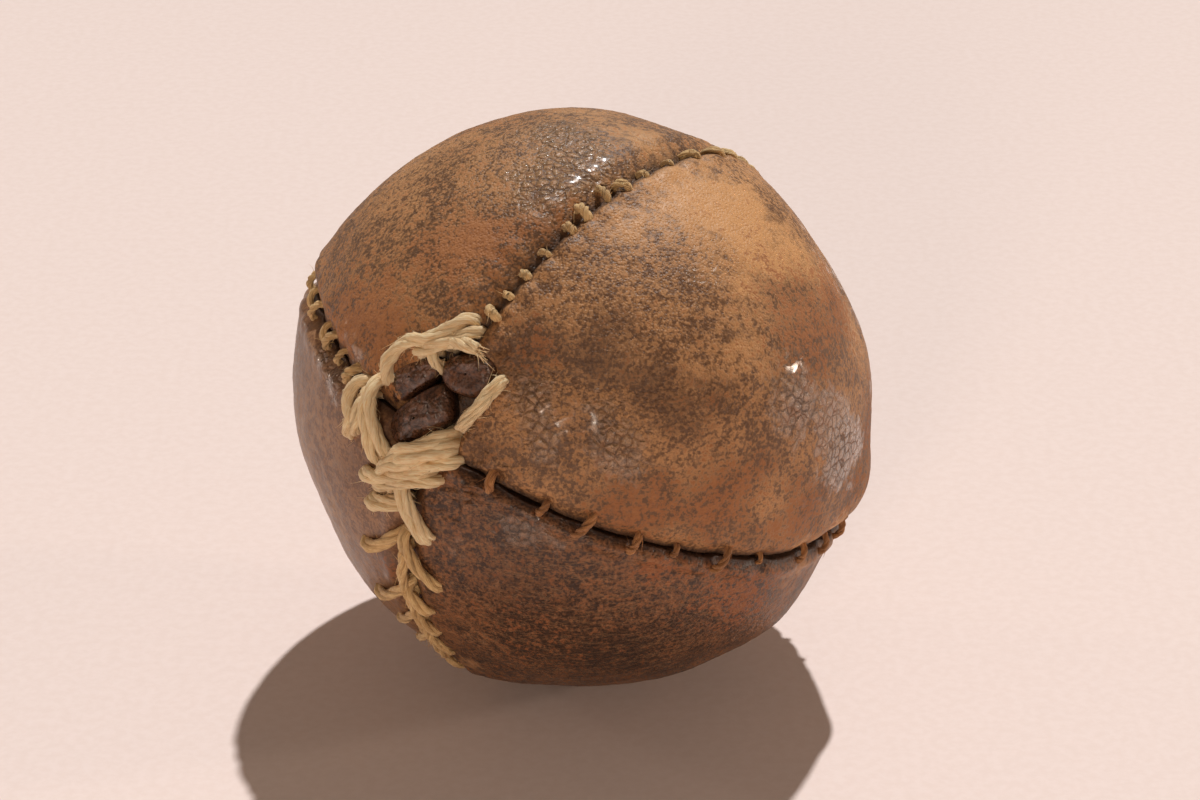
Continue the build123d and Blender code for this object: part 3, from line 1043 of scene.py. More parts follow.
@dataclass
class Herringbone:
    """The lower seam's closing: legs that run up both panels to a spine over the seam.

    Args:
        cover: The shape that it lies on.
        first: Polar angle of the first unit that is placed by rule.
        pitch: Degrees from one unit to the next.
        last: Polar angle of the last unit.
    """

    cover: Cover
    first: float = 66.0
    pitch: float = 7.4
    last: float = 166.0

    def strands(self) -> list[Strand]:
        """Listed units near the closing, then even ones that get finer."""
        made = list(HERRINGBONE)
        rng = np.random.default_rng(77)
        seam = Seam.LOWER.value
        polar = self.first
        while polar < self.last:
            width = math.degrees(1 / (BALL_RADIUS * math.sin(math.radians(polar))))
            wobble = rng.uniform(-0.5, 0.5, 3)
            legs = ((seam - 3.0 * width, polar + 3.4 + wobble[0], 0.1),
                    (seam - 1.4 * width, polar + 1.4, 0.35),
                    (seam + 0.2 * width, polar - 0.6, 0.3),
                    (seam + 1.6 * width, polar + 2.4 + wobble[1], 0.1))
            spine = ((seam - 0.2 * width, polar + 0.2, 0.2), (seam + 0.3 * width, polar + 3.0, 0.2),
                     (seam + 0.1 * width, polar + self.pitch - 0.8, 0.1))
            made.append(Strand(legs, 1.15 + 0.1 * wobble[2]))
            made.append(Strand(spine, 1.0))
            polar += self.pitch
        return made

    def build(self) -> bpy.types.Object:
        """Lays every strand."""
        spinner = Spinner(self.cover, ring=8, seed=500)
        return tie_up("lower_stitching", spinner.lay_all(self.strands()))


HERRINGBONE = (
    Strand(((259, 31, 0.3), (264, 29.5, 0.9), (270, 25.5, 1.0), (279, 21.5, 0.6)), 1.8),
    Strand(((281, 20, 1.0), (284, 24, 1.1), (290, 28.5, 0.9), (296, 33, 0.2)), 1.7),
    Strand(((282, 24, 0.8), (281, 29, 0.9), (279.5, 34, 0.8), (281, 39, 0.4)), 1.5),
    Strand(((265, 45.5, 0.2), (270, 43, 0.7), (275, 38.5, 0.9), (281, 34.5, 0.6)), 1.7),
    Strand(((280, 35, 0.8), (284, 38, 0.9), (288, 41.5, 0.2)), 1.5),
    Strand(((281, 37, 0.6), (281, 42, 0.6), (282, 47, 0.3)), 1.4),
    Strand(((271, 53, 0.1), (274, 50.5, 0.5), (278, 46, 0.6), (281, 43, 0.4)), 1.4),
    Strand(((280, 43, 0.5), (283, 46, 0.6), (286, 50, 0.1)), 1.35),
    Strand(((281, 45, 0.4), (281, 50, 0.4), (281.5, 54, 0.2)), 1.2),
    Strand(((274, 61, 0.1), (276, 58, 0.4), (279, 54, 0.5), (281.5, 51, 0.3)), 1.25),
    Strand(((281, 51, 0.4), (284, 54, 0.4), (286, 58, 0.1)), 1.2),
    Strand(((281, 53, 0.3), (281, 59, 0.3), (281.5, 64, 0.1)), 1.1),
)


@dataclass(frozen=True)
class Lashing:
    """One node of the closing's lashing, by its strands."""

    node: str
    strands: tuple[Strand, ...]

    def build(self, cover: Cover, seed: int) -> bpy.types.Object:
        """Lays its strands."""
        spinner = Spinner(cover, ring=10, step=0.26, seed=seed, fuzz=2.2)
        return tie_up(self.node + "_strands", spinner.lay_all(self.strands))


LASHINGS = (
    Lashing("closing_loop", (
        Strand(((156, 13, 0.2), (149, 14.5, 1.2), (141, 16.5, 1.5), (126, 18.6, 1.5), (111, 18.8, 1.6),
                (102, 22, 1.5), (96, 25.6, 1.0)), 1.9),
        Strand(((124, 16.6, 0.3), (114, 16.6, 1.2), (106, 18, 1.5), (97, 20.6, 1.4), (90, 24.5, 0.8)), 1.8),
    )),
    Lashing("loop_end", (
        Strand(((104, 14.2, 0.0), (107, 15.6, 1.1), (111, 17.4, 0.9)), 1.6),
        Strand(((104, 19, 0.9), (96, 20.2, 1.4), (90, 20.8, 1.5), (83, 21.6, 1.2)), 1.8, True),
    )),
    Lashing("front_strand_outer", (
        Strand(((171, 17, 0.2), (178, 18.3, 1.3), (191, 17.2, 1.6), (200, 15.6, 1.5), (214, 19.2, 0.5)), 1.9),
        Strand(((177, 15, 0.2), (188, 14.6, 1.5), (200, 14, 1.5), (211, 17, 0.5)), 1.7),
    )),
    Lashing("front_strand_inner", (
        Strand(((160, 14.6, 0.1), (168, 13.4, 1.5), (178, 12, 1.9), (196, 9.4, 1.8), (220, 8.2, 1.5),
                (244, 8, 0.8)), 1.9),
        Strand(((172, 16, 0.3), (184, 13.2, 1.6), (200, 11.8, 1.6), (222, 11.4, 1.1), (240, 12.5, 0.2)), 1.7),
    )),
    Lashing("closing_knot", (
        Strand(((246, 12, 0.5), (245, 7.4, 1.4), (250, 3.6, 1.9), (2, 2.6, 1.9), (36, 6.4, 0.7)), 2.3),
        Strand(((252, 13, 0.6), (247, 8.4, 1.6), (269, 5.4, 2.1), (342, 3.6, 2.2), (20, 7.6, 0.6)), 2.3),
        Strand(((262, 14, 0.6), (264, 9, 1.2), (296, 5.6, 1.7), (342, 6.6, 1.3), (2, 9.4, 0.4)), 1.9),
    )),
    Lashing("cross_lashing", (
        Strand(((237, 17, 0.3), (243, 14.6, 1.1), (256, 10.8, 1.5), (276, 8.2, 1.7), (300, 7, 1.3),
                (322, 7, 0.4)), 1.9),
        Strand(((248, 16.4, 0.3), (257, 13.2, 1.2), (274, 9.8, 1.7), (302, 8.2, 1.5), (328, 9.6, 0.4)), 1.7),
    )),
    Lashing("spine_lashing", (
        Strand(((268, 9, 0.4), (272, 10.6, 1.4), (281, 14, 1.3), (290, 18.4, 0.9), (295, 22, 0.3)), 1.7),
        Strand(((276, 9, 0.4), (280, 10.6, 1.5), (288, 13.2, 1.3), (295, 17.8, 0.8), (299, 21, 0.2)), 1.5),
        Strand(((253, 20.4, 0.3), (258, 18.8, 1.1), (265, 16.4, 1.3), (276, 14.8, 0.8)), 1.8),
        Strand(((252, 18.6, 0.2), (258, 17.2, 0.9), (266, 15.2, 1.1), (277, 13.6, 0.7)), 1.5),
    )),
    Lashing("long_stitch", (
        Strand(((44, 8.6, 0.0), (48, 10.6, 0.9), (57, 15, 1.0), (62, 19, 0.9), (65, 21.8, 0.1)), 1.5),
        Strand(((41, 9.2, 0.0), (46, 11.4, 0.9), (54, 15.6, 1.0), (60, 19.4, 0.8), (63, 21.8, 0.1)), 1.3),
    )),
)


@dataclass(frozen=True)
class RearStitches:
    """Two short stitches that cross over the rear pole."""

    polar: float = 175.6
    thickness: float = 1.3

    def build(self, cover: Cover) -> bpy.types.Object:
        """Lays the two stitches, one over the other."""
        spinner = Spinner(cover, ring=8, seed=900)
        strands = []
        for lon, lift in ((45.0, 0.3), (135.0, 1.5)):
            far = lon + 180
            route = ((lon, self.polar, lift - 0.3), (lon, 178.6, lift + 0.2),
                     (far, 178.6, lift + 0.2), (far, self.polar, lift - 0.3))
            strands.append(Strand(route, self.thickness))
        return tie_up("rear_stitches", spinner.lay_all(strands))


# ---------------------------------------------------------------- folded tabs of the closing

@dataclass(frozen=True)
class Tab:
    """A folded leather tab: a rounded four-cornered patch, puffed up between its edges.

    Args:
        node: The node that it stands for.
        corners: Its corners (longitude, polar angle), in order round it.
        foot: Height of its rim over the leather, below zero in the well.
        puff: Height of its middle over its rim.
        ridge: Height of the sharp fold along its first side.
        seed: Number that picks its wrinkles.
        wrinkle: Height of its folds.
        squareness: Power of the superellipse, 2 for round and more for squarer.
        rows: Rings from the top to the underside.
        columns: Points round each ring.
    """

    node: str
    corners: tuple[tuple[float, float], ...]
    foot: float
    puff: float
    ridge: float
    seed: int
    wrinkle: float = 0.2
    squareness: float = 3.2
    rows: int = 90
    columns: int = 180

    def build(self, cover: Cover) -> bpy.types.Object:
        """Rings from the middle of the top over the rim to the middle of the underside.

        Each ring is a superellipse, whose (u, v) picks a place between the four corners. The height is a flat
        dome of the ring's size, with folds that are ridges of noise.
        """
        lon, polar = (np.array(column) for column in zip(*self.corners))
        corner = cover.ball.way(lon, polar)
        top = np.linspace(0.02, 1, self.rows - 12) ** 0.8
        size = np.concatenate([top, np.linspace(0.985, 0.05, 12)])[:, None]
        under = (np.arange(self.rows) >= len(top))[:, None]
        angle = np.linspace(0, 2 * math.pi, self.columns, endpoint=False)[None, :]
        power = self.squareness
        scale = (np.abs(np.cos(angle)) ** power + np.abs(np.sin(angle)) ** power) ** (-1 / power)
        u = 0.5 + 0.5 * size * scale * np.cos(angle)
        v = 0.5 + 0.5 * size * scale * np.sin(angle)
        u, v = u[..., None], v[..., None]
        way = ((1 - u) * (1 - v) * corner[0] + u * (1 - v) * corner[1]
               + u * v * corner[2] + (1 - u) * v * corner[3])
        way /= np.linalg.norm(way, axis=-1)[..., None]
        local = way @ cover.ball.axes.T
        longitude = np.degrees(np.arctan2(local[..., 1], local[..., 0]))
        angle_polar = np.degrees(np.arccos(np.clip(local[..., 2], -1, 1)))
        base = cover.smooth(longitude, angle_polar)
        dome = np.sqrt(np.clip(1 - size ** 3.2, 0, 1))
        points = way * BALL_RADIUS
        wrinkles = (1 - 2 * np.abs(cloud(points, 4.5, self.seed, 2))) * self.wrinkle
        fine = 0.05 * cloud(points, 0.9, self.seed + 9, 2)
        fold = self.ridge * np.exp(-((v[..., 0] - 0.07) / 0.07) ** 2) * dome ** 0.5
        height = self.foot + np.where(under, -1.2, self.puff * dome + (wrinkles + fine) * dome ** 0.4 + fold)
        placed = cover.ball.place(way, base + height)
        count = self.columns
        ends = [np.arange(count), np.arange(count) + (self.rows - 1) * count]
        # Painted shade: the tab darkens in its fold hollows and towards its rim, where shade falls; its
        # crests take glaze, rust and rubbed wear.
        worn = np.clip(0.5 + 0.8 * wrinkles / max(self.wrinkle, 0.01), 0, 1) * dome
        crest = np.clip(fold, 0, 1)
        values = {"dark": 0.6 * (1 - worn), "glaze": 0.75 * worn, "rust": 0.55 * crest + 0.25 * worn,
                  "pale": 0.3 * crest, "painted_shade": 1 - dome}
        values = {label: np.broadcast_to(value, size.shape[:1] + (count,)).ravel()
                  for label, value in values.items()}
        return add_mesh(self.node.replace("closing_", "") + "_fold", placed.reshape(-1, 3),
                        tube_faces(self.rows, count), values, ends)


TABS = (
    Tab("closing_tab_inner", ((190, 9.6), (96, 13.8), (50, 8.4), (238, 7.4)), -1.3, 2.3, 0.5, 11),
    Tab("closing_tab_side", ((177, 8.8), (102, 12.6), (108, 17.4), (155, 15.4)), -1.3, 1.7, 0.15, 23),
    Tab("closing_tab_outer", ((98, 10.4), (105, 17.2), (73, 24.8), (56, 15.8)),
        -1.2, 1.9, 0.2, 37, 0.34, 2.6),
)


# ---------------------------------------------------------------- shader nodes

def shade(red: float, green: float, blue: float) -> tuple[float, float, float, float]:
    """Linear colour from screen values of 0 to 255."""
    return tuple(c / 12.92 if c <= 0.04045 else ((c + 0.055) / 1.055) ** 2.4
                 for c in (red / 255, green / 255, blue / 255)) + (1.0,)


class Graph:
    """Short words for adding and joining shader nodes in one tree."""

    def __init__(self, tree: bpy.types.NodeTree) -> None:
        """Starts on a tree."""
        self.tree = tree

    def add(self, kind: str, **settings: object) -> bpy.types.Node:
        """Adds a node and sets its properties."""
        node = self.tree.nodes.new(kind)
        for label, value in settings.items():
            setattr(node, label, value)
        return node

    def feed(self, socket: bpy.types.NodeSocket, value: object) -> None:
        """Links a socket, or sets a plain value on it."""
        if isinstance(value, bpy.types.NodeSocket):
            self.tree.links.new(value, socket)
        else:
            socket.default_value = value

    def math(self, operation: str, *values: object, clamp: bool = False) -> bpy.types.NodeSocket:
        """Result of a Math node."""
        node = self.add("ShaderNodeMath", operation=operation, use_clamp=clamp)
        for socket, value in zip(node.inputs, values):
            self.feed(socket, value)
        return node.outputs[0]

    def step(self, value: object, low: object, high: object) -> bpy.types.NodeSocket:
        """Smooth step from 0 at low to 1 at high."""
        node = self.add("ShaderNodeMapRange", interpolation_type="SMOOTHSTEP")
        for socket, given in zip(node.inputs, (value, low, high)):
            self.feed(socket, given)
        return node.outputs[0]

    def mix(self, factor: object, first: object, second: object) -> bpy.types.NodeSocket:
        """Blend of two colours."""
        node = self.add("ShaderNodeMix", data_type="RGBA")
        self.feed(node.inputs[0], factor)
        self.feed(node.inputs[6], first)
        self.feed(node.inputs[7], second)
        return node.outputs[2]

    def plus(self, base: object, value: object, share: float) -> bpy.types.NodeSocket:
        """Adds a share of a value to a base."""
        return self.math("ADD", base, self.math("MULTIPLY", value, share))

    def noise(self, vector: object, scale: object, detail: float = 2.0,
              rough: float = 0.5) -> bpy.types.NodeSocket:
        """Noise texture's value."""
        node = self.add("ShaderNodeTexNoise")
        self.feed(node.inputs["Vector"], vector)
        self.feed(node.inputs["Scale"], scale)
        node.inputs["Detail"].default_value = detail
        node.inputs["Roughness"].default_value = rough
        return node.outputs[0]

    def place(self, stretch: tuple[float, float, float] = (1, 1, 1),
              turn: tuple[float, float, float] = (0, 0, 0)) -> bpy.types.NodeSocket:
        """Object coordinates in metres, turned and stretched."""
        mapping = self.add("ShaderNodeMapping")
        mapping.inputs["Scale"].default_value = stretch
        mapping.inputs["Rotation"].default_value = turn
        self.feed(mapping.inputs["Vector"], self.add("ShaderNodeTexCoord").outputs["Object"])
        return mapping.outputs[0]

    def attribute(self, label: str) -> bpy.types.NodeSocket:
        """A value that the mesh carries."""
        return self.add("ShaderNodeAttribute", attribute_name=label).outputs["Fac"]

    def bump(self, height: object, distance: float, normal: object = None) -> bpy.types.NodeSocket:
        """Normal raised by a height from 0 to 1 over a distance in metres."""
        node = self.add("ShaderNodeBump")
        node.inputs["Distance"].default_value = distance
        self.feed(node.inputs["Height"], height)
        if normal is not None:
            self.feed(node.inputs["Normal"], normal)
        return node.outputs[0]


class Effects:
    """Node groups that more than one finish uses, each built once."""

    def __init__(self) -> None:
        """Builds the groups."""
        self.stipple = self.group("stipple", {"Scale": 1.0}, ("Fine", "Coarse", "Broad", "Height"),
                                  self.make_stipple)
        self.crackle = self.group("crackle", {"Scale": 900.0}, ("Cracks", "Cells", "Height"),
                                  self.make_crackle)
        self.scratches = self.group("scratches", {"Scale": 1.0}, ("Lines", "Fibres"), self.make_scratches)
        self.spun = self.group("spun fibre", {"Along": 1.0}, ("Streaks", "Soil", "Height"), self.make_spun)

    @staticmethod
    def group(name: str, takes: dict[str, float], gives: tuple[str, ...],
              make: Callable[[Graph, object], list]) -> bpy.types.NodeTree:
        """New node group with number inputs and outputs.

        Args:
            name: The group's name.
            takes: Inputs and their common values.
            gives: Outputs.
            make: Function that fills the group from its graph and its inputs, and returns its output sockets.

        Returns:
            The group.
        """
        tree = bpy.data.node_groups.new(name, "ShaderNodeTree")
        for label, value in takes.items():
            taken = tree.interface.new_socket(label, in_out="INPUT", socket_type="NodeSocketFloat")
            taken.default_value = value
        for label in gives:
            tree.interface.new_socket(label, in_out="OUTPUT", socket_type="NodeSocketFloat")
        graph = Graph(tree)
        entry = graph.add("NodeGroupInput")
        leave = graph.add("NodeGroupOutput")
        for socket, value in zip(leave.inputs, make(graph, entry.outputs)):
            graph.feed(socket, value)
        return tree

    @staticmethod
    def make_stipple(graph: Graph, takes: object) -> list:
        """Leather's grain: fine grains of half a millimetre, coarse ones of 1.5, and broad clouds of 8."""
        where = graph.place()
        fine = graph.noise(where, graph.math("MULTIPLY", takes["Scale"], 1500.0), 3.0, 0.62)
        coarse = graph.noise(where, graph.math("MULTIPLY", takes["Scale"], 520.0), 4.0, 0.6)
        broad = graph.noise(where, graph.math("MULTIPLY", takes["Scale"], 95.0), 4.0, 0.58)
        pores = graph.add("ShaderNodeTexVoronoi", feature="F1")
        graph.feed(pores.inputs["Vector"], where)
        graph.feed(pores.inputs["Scale"], graph.math("MULTIPLY", takes["Scale"], 1900.0))
        height = graph.math("ADD", graph.math("MULTIPLY", fine, 0.55),
                            graph.math("MULTIPLY", graph.step(pores.outputs["Distance"], 0.1, 0.6), 0.3))
        return [graph.step(fine, 0.36, 0.64), graph.step(coarse, 0.36, 0.64),
                graph.step(broad, 0.32, 0.68), height]

    @staticmethod
    def make_crackle(graph: Graph, takes: object) -> list:
        """Old finish broken into plates: cracks where two cells of a warped Voronoi pattern meet."""
        where = graph.place()
        warp = graph.add("ShaderNodeTexNoise")
        graph.feed(warp.inputs["Vector"], where)
        warp.inputs["Scale"].default_value = 420.0
        warp.inputs["Detail"].default_value = 3.0
        push = graph.add("ShaderNodeVectorMath", operation="MULTIPLY_ADD")
        graph.feed(push.inputs[0], warp.outputs["Color"])
        push.inputs[1].default_value = (0.0011, 0.0011, 0.0011)
        graph.feed(push.inputs[2], where)
        edge = graph.add("ShaderNodeTexVoronoi", feature="DISTANCE_TO_EDGE")
        cell = graph.add("ShaderNodeTexVoronoi", feature="F1")
        for node in (edge, cell):
            graph.feed(node.inputs["Vector"], push.outputs[0])
            graph.feed(node.inputs["Scale"], takes["Scale"])
        cracks = graph.step(edge.outputs["Distance"], 0.12, 0.0)
        tone = graph.add("ShaderNodeSeparateColor")
        graph.feed(tone.inputs[0], cell.outputs["Color"])
        return [cracks, tone.outputs[0], graph.step(edge.outputs["Distance"], 0.0, 0.3)]

    @staticmethod
    def make_scratches(graph: Graph, takes: object) -> list:
        """Thin scuffs: the narrow middle band of noise that is stretched along two directions."""
        made = []
        for stretch, turn, rate in (((1, 6, 5), (0.3, 0.9, 0.5), 160.0), ((1, 9, 8), (1.1, 0.2, 1.3), 230.0)):
            scale = graph.math("MULTIPLY", takes["Scale"], rate)
            value = graph.noise(graph.place(stretch, turn), scale, 3.0, 0.6)
            away = graph.math("ABSOLUTE", graph.math("SUBTRACT", value, 0.5))
            made.append(graph.step(away, 0.035, 0.0))
        return [made[0], made[1]]

    @staticmethod
    def make_spun(graph: Graph, takes: object) -> list:
        """Fibres along a ply: streaks long along it and fine across it, and soiling in patches."""
        fibre = graph.add("ShaderNodeUVMap", uv_map="fibre").outputs[0]
        mapping = graph.add("ShaderNodeVectorMath", operation="MULTIPLY")
        graph.feed(mapping.inputs[0], fibre)
        mapping.inputs[1].default_value = (0.55, 13.0, 1.0)
        streaks = graph.noise(mapping.outputs[0], graph.math("MULTIPLY", takes["Along"], 1.6), 4.0, 0.65)
        soil = graph.noise(graph.place(), 260.0, 3.0, 0.6)
        return [graph.step(streaks, 0.3, 0.7), graph.step(soil, 0.35, 0.68), streaks]

    def use(self, graph: Graph, which: bpy.types.NodeTree, **values: float) -> bpy.types.Node:
        """Places a group in a material, with its own values."""
        node = graph.add("ShaderNodeGroup", node_tree=which)
        for label, value in values.items():
            node.inputs[label].default_value = value
        return node


# Screen colour of the painted shade along the seams, in the closing's well and round the tabs' rims
PAINTED_SHADE = (38, 22, 14)


def blank_material(name: str) -> tuple[bpy.types.Material, Graph, bpy.types.Node]:
    """New material with its graph and its Principled shader."""
    material = bpy.data.materials.new(name)
    material.use_nodes = True
    graph = Graph(material.node_tree)
    return material, graph, material.node_tree.nodes["Principled BSDF"]


@dataclass(frozen=True)
class LeatherFinish:
    """An old vegetable-tanned leather.

    Args:
        name: The material's name.
        light: Screen colour of its light grains.
        deep: Screen colour of its dark grains.
        rust: Screen colour of its rusty grains.
        stain: Screen colour of dark stains.
        rubbed: Screen colour of pale rubbed places.
        old_finish_and_sheen: Screen colour of islands of old finish, partly a painted sheen.
        rusty: How much rust there is all over, from 0 to 1.
        matt: Roughness of the bare leather.
        gloss: Roughness of the islands.
        relief: Depth of the grain in metres.
        scuffed: Strength of its scuffs.
        grain: How fine its grain is, 1 for coarse leather.
    """

    name: str
    light: tuple[float, float, float]
    deep: tuple[float, float, float]
    rust: tuple[float, float, float]
    stain: tuple[float, float, float]
    rubbed: tuple[float, float, float]
    old_finish_and_sheen: tuple[float, float, float]
    rusty: float = 0.3
    matt: float = 0.6
    gloss: float = 0.3
    relief: float = 0.00017
    scuffed: float = 0.2
    grain: float = 1.35

    def make(self, effects: Effects) -> bpy.types.Material:
        """Mixes the tones by the grain, by the wear that the mesh carries and by its painted shade."""
        material, graph, shader = blank_material(self.name)
        grain = effects.use(graph, effects.stipple, Scale=self.grain).outputs
        crackle = effects.use(graph, effects.crackle, Scale=820.0).outputs
        scuffs = effects.use(graph, effects.scratches, Scale=1.0).outputs
        mottle = graph.plus(graph.math("MULTIPLY", grain["Coarse"], 0.28), grain["Broad"], 0.3)
        mottle = graph.step(graph.plus(mottle, grain["Fine"], 0.5), 0.2, 0.95)
        colour = graph.mix(mottle, shade(*self.deep), shade(*self.light))
        pale = graph.step(graph.plus(graph.attribute("pale"), grain["Coarse"], 0.3), 0.35, 1.05)
        colour = graph.mix(pale, colour, shade(*self.rubbed))
        dark = graph.step(graph.plus(graph.attribute("dark"), grain["Coarse"], 0.35), 0.4, 1.1)
        colour = graph.mix(graph.math("MULTIPLY", dark, 0.6), colour, shade(*self.stain))
        rusty = graph.math("ADD", graph.math("MULTIPLY", graph.attribute("rust"), 0.75), self.rusty)
        seeds = graph.plus(graph.math("MULTIPLY", grain["Fine"], 0.6), grain["Coarse"], 0.4)
        rust = graph.step(graph.math("ADD", rusty, seeds), 0.85, 1.35)
        colour = graph.mix(graph.math("MULTIPLY", rust, 0.8), colour, shade(*self.rust))
        plate = graph.plus(graph.attribute("glaze"), crackle["Cells"], 0.4)
        plate = graph.step(graph.plus(plate, grain["Coarse"], 0.25), 0.6, 1.0)
        cracked = graph.math("MULTIPLY", graph.attribute("glaze"), crackle["Cracks"], clamp=True)
        plate = graph.math("MULTIPLY", plate, graph.math("SUBTRACT", 1.0, cracked), clamp=True)
        # The plates take the old finish's grey tint, partly a painted sheen over their real gloss.
        colour = graph.mix(graph.math("MULTIPLY", plate, 0.4), colour, shade(*self.old_finish_and_sheen))
        colour = graph.mix(graph.math("MULTIPLY", cracked, 0.75), colour, shade(*self.stain))
        colour = graph.mix(graph.math("MULTIPLY", scuffs["Lines"], self.scuffed), colour, shade(*self.rubbed))
        fibres = graph.math("MULTIPLY", scuffs["Fibres"], self.scuffed * 0.8)
        colour = graph.mix(fibres, colour, shade(*self.stain))
        # Painted shade: darkens the seams, the closing's well and the tabs' rims towards a near-black brown.
        painted_shade = graph.step(graph.plus(graph.attribute("painted_shade"), grain["Coarse"], 0.25), 0.35, 1.1)
        colour = graph.mix(graph.math("MULTIPLY", painted_shade, 0.8), colour, shade(*PAINTED_SHADE))
        graph.feed(shader.inputs["Base Color"], colour)
        rough = graph.plus(self.matt - 0.08, grain["Fine"], 0.16)
        rough = graph.plus(rough, rust, 0.12)
        rough = graph.math("SUBTRACT", rough, graph.math("MULTIPLY", plate, self.matt - self.gloss))
        graph.feed(shader.inputs["Coat Weight"], graph.math("MULTIPLY", plate, 0.9))
        shader.inputs["Coat Roughness"].default_value = 0.15
        graph.feed(shader.inputs["Roughness"], rough)
        first = graph.bump(grain["Height"], self.relief)
        plates = graph.math("MULTIPLY", plate, crackle["Height"])
        lines = graph.math("MULTIPLY", scuffs["Lines"], 0.25 * self.scuffed)
        plates = graph.math("SUBTRACT", plates, lines)
        graph.feed(shader.inputs["Normal"], graph.bump(plates, 0.0002, first))
        return material


@dataclass(frozen=True)
class SpunFinish:
    """Twine or cord of plant fibre, waxed or dry.

    Args:
        name: The material's name.
        light: Screen colour of its light fibres.
        deep: Screen colour of its deep fibres.
        soil: Screen colour of its soiled patches.
        soiled: How much the soil covers, from 0 to 1.
        relief: Depth of the fibres in metres.
    """

    name: str
    light: tuple[float, float, float]
    deep: tuple[float, float, float]
    soil: tuple[float, float, float]
    soiled: float = 0.3
    relief: float = 0.00022

    def make(self, effects: Effects) -> bpy.types.Material:
        """Streaks of light and deep fibre, with soil in patches."""
        material, graph, shader = blank_material(self.name)
        spun = effects.use(graph, effects.spun, Along=1.0).outputs
        colour = graph.mix(spun["Streaks"], shade(*self.deep), shade(*self.light))
        colour = graph.mix(graph.math("MULTIPLY", spun["Soil"], self.soiled), colour, shade(*self.soil))
        graph.feed(shader.inputs["Base Color"], colour)
        shader.inputs["Roughness"].default_value = 0.72
        shader.inputs["Sheen Weight"].default_value = 0.12
        shader.inputs["Sheen Roughness"].default_value = 0.5
        graph.feed(shader.inputs["Normal"], graph.bump(spun["Height"], self.relief))
        return material


@dataclass(frozen=True)
class FillingFinish:
    """Cork, yarn or wool: crumbs or fibres of two tones, quite matt.

    Args:
        name: The material's name.
        light: Screen colour of its light tone.
        deep: Screen colour of its dark tone.
        scale: How many crumbs or fibres there are to a metre, roughly.
        stretch: How much finer the noise is in x, y and z.
        relief: Depth of the crumbs in metres.
    """

    name: str
    light: tuple[float, float, float]
    deep: tuple[float, float, float]
    scale: float
    stretch: tuple[float, float, float] = (1, 1, 1)
    relief: float = 0.0003

    def make(self, effects: Effects) -> bpy.types.Material:
        """Two noises of different size mix the tones and raise the surface."""
        material, graph, shader = blank_material(self.name)
        where = graph.place(self.stretch, (0.4, 0.2, 0.7))
        broad = graph.noise(where, self.scale, 4.0, 0.6)
        fine = graph.noise(where, self.scale * 4.5, 3.0, 0.6)
        tone = graph.plus(graph.math("MULTIPLY", broad, 0.6), fine, 0.4)
        colour = graph.mix(graph.step(tone, 0.35, 0.65), shade(*self.deep), shade(*self.light))
        graph.feed(shader.inputs["Base Color"], colour)
        graph.feed(shader.inputs["Roughness"], graph.plus(0.75, fine, 0.2))
        graph.feed(shader.inputs["Normal"], graph.bump(tone, self.relief))
        return material


LEATHERS: dict[str, LeatherFinish] = {
    "right": LeatherFinish("right_leather", (194, 142, 92), (104, 70, 42), (152, 92, 50), (84, 54, 32),
                           (206, 152, 98), (158, 128, 100), 0.16, 0.56, 0.28, 0.00018, 0.08),
    "upper": LeatherFinish("upper_leather", (196, 144, 94), (102, 70, 44), (170, 110, 64), (88, 60, 40),
                           (196, 146, 96), (172, 142, 112), 0.3, 0.58, 0.28, 0.0002, 0.08),
    "left": LeatherFinish("left_leather", (160, 118, 84), (112, 78, 56), (150, 92, 54), (82, 54, 40),
                          (178, 140, 104), (156, 130, 108), 0.0, 0.38, 0.26, 0.00005, 0.08),
    "lower": LeatherFinish("lower_leather", (140, 92, 56), (62, 38, 22), (150, 88, 48), (44, 27, 17),
                           (188, 140, 96), (140, 108, 80), 0.12, 0.46, 0.28, 0.00012, 0.22),
    "tab": LeatherFinish("tab_leather", (116, 74, 48), (58, 36, 26), (156, 92, 48), (40, 26, 18),
                         (160, 112, 72), (104, 74, 56), 0.0, 0.34, 0.2, 0.00008, 0.08),
}
TWINE_FINISH = SpunFinish("dry_twine", (255, 222, 160), (216, 166, 106), (150, 102, 60), 0.3)
WAXED_FINISH = SpunFinish("waxed_twine", (218, 152, 88), (156, 98, 52), (100, 62, 34), 0.45)
CORD_FINISH = SpunFinish("lashing_cord", (255, 238, 196), (236, 194, 136), (176, 124, 76), 0.22)
CORK_FINISH = FillingFinish("cork", (176, 128, 84), (96, 60, 36), 420.0)
YARN_FINISH = FillingFinish("wound_yarn", (214, 200, 168), (160, 142, 110), 500.0, (1, 1, 5))
WOOL_FINISH = FillingFinish("packed_wool", (196, 178, 146), (138, 118, 88), 380.0, (1, 2, 4), 0.0004)


# ---------------------------------------------------------------- floor, light and camera

WARM = (1.0, 0.82, 0.67)
FLOOR_TONES = ((236, 217, 209), (240, 222, 215))


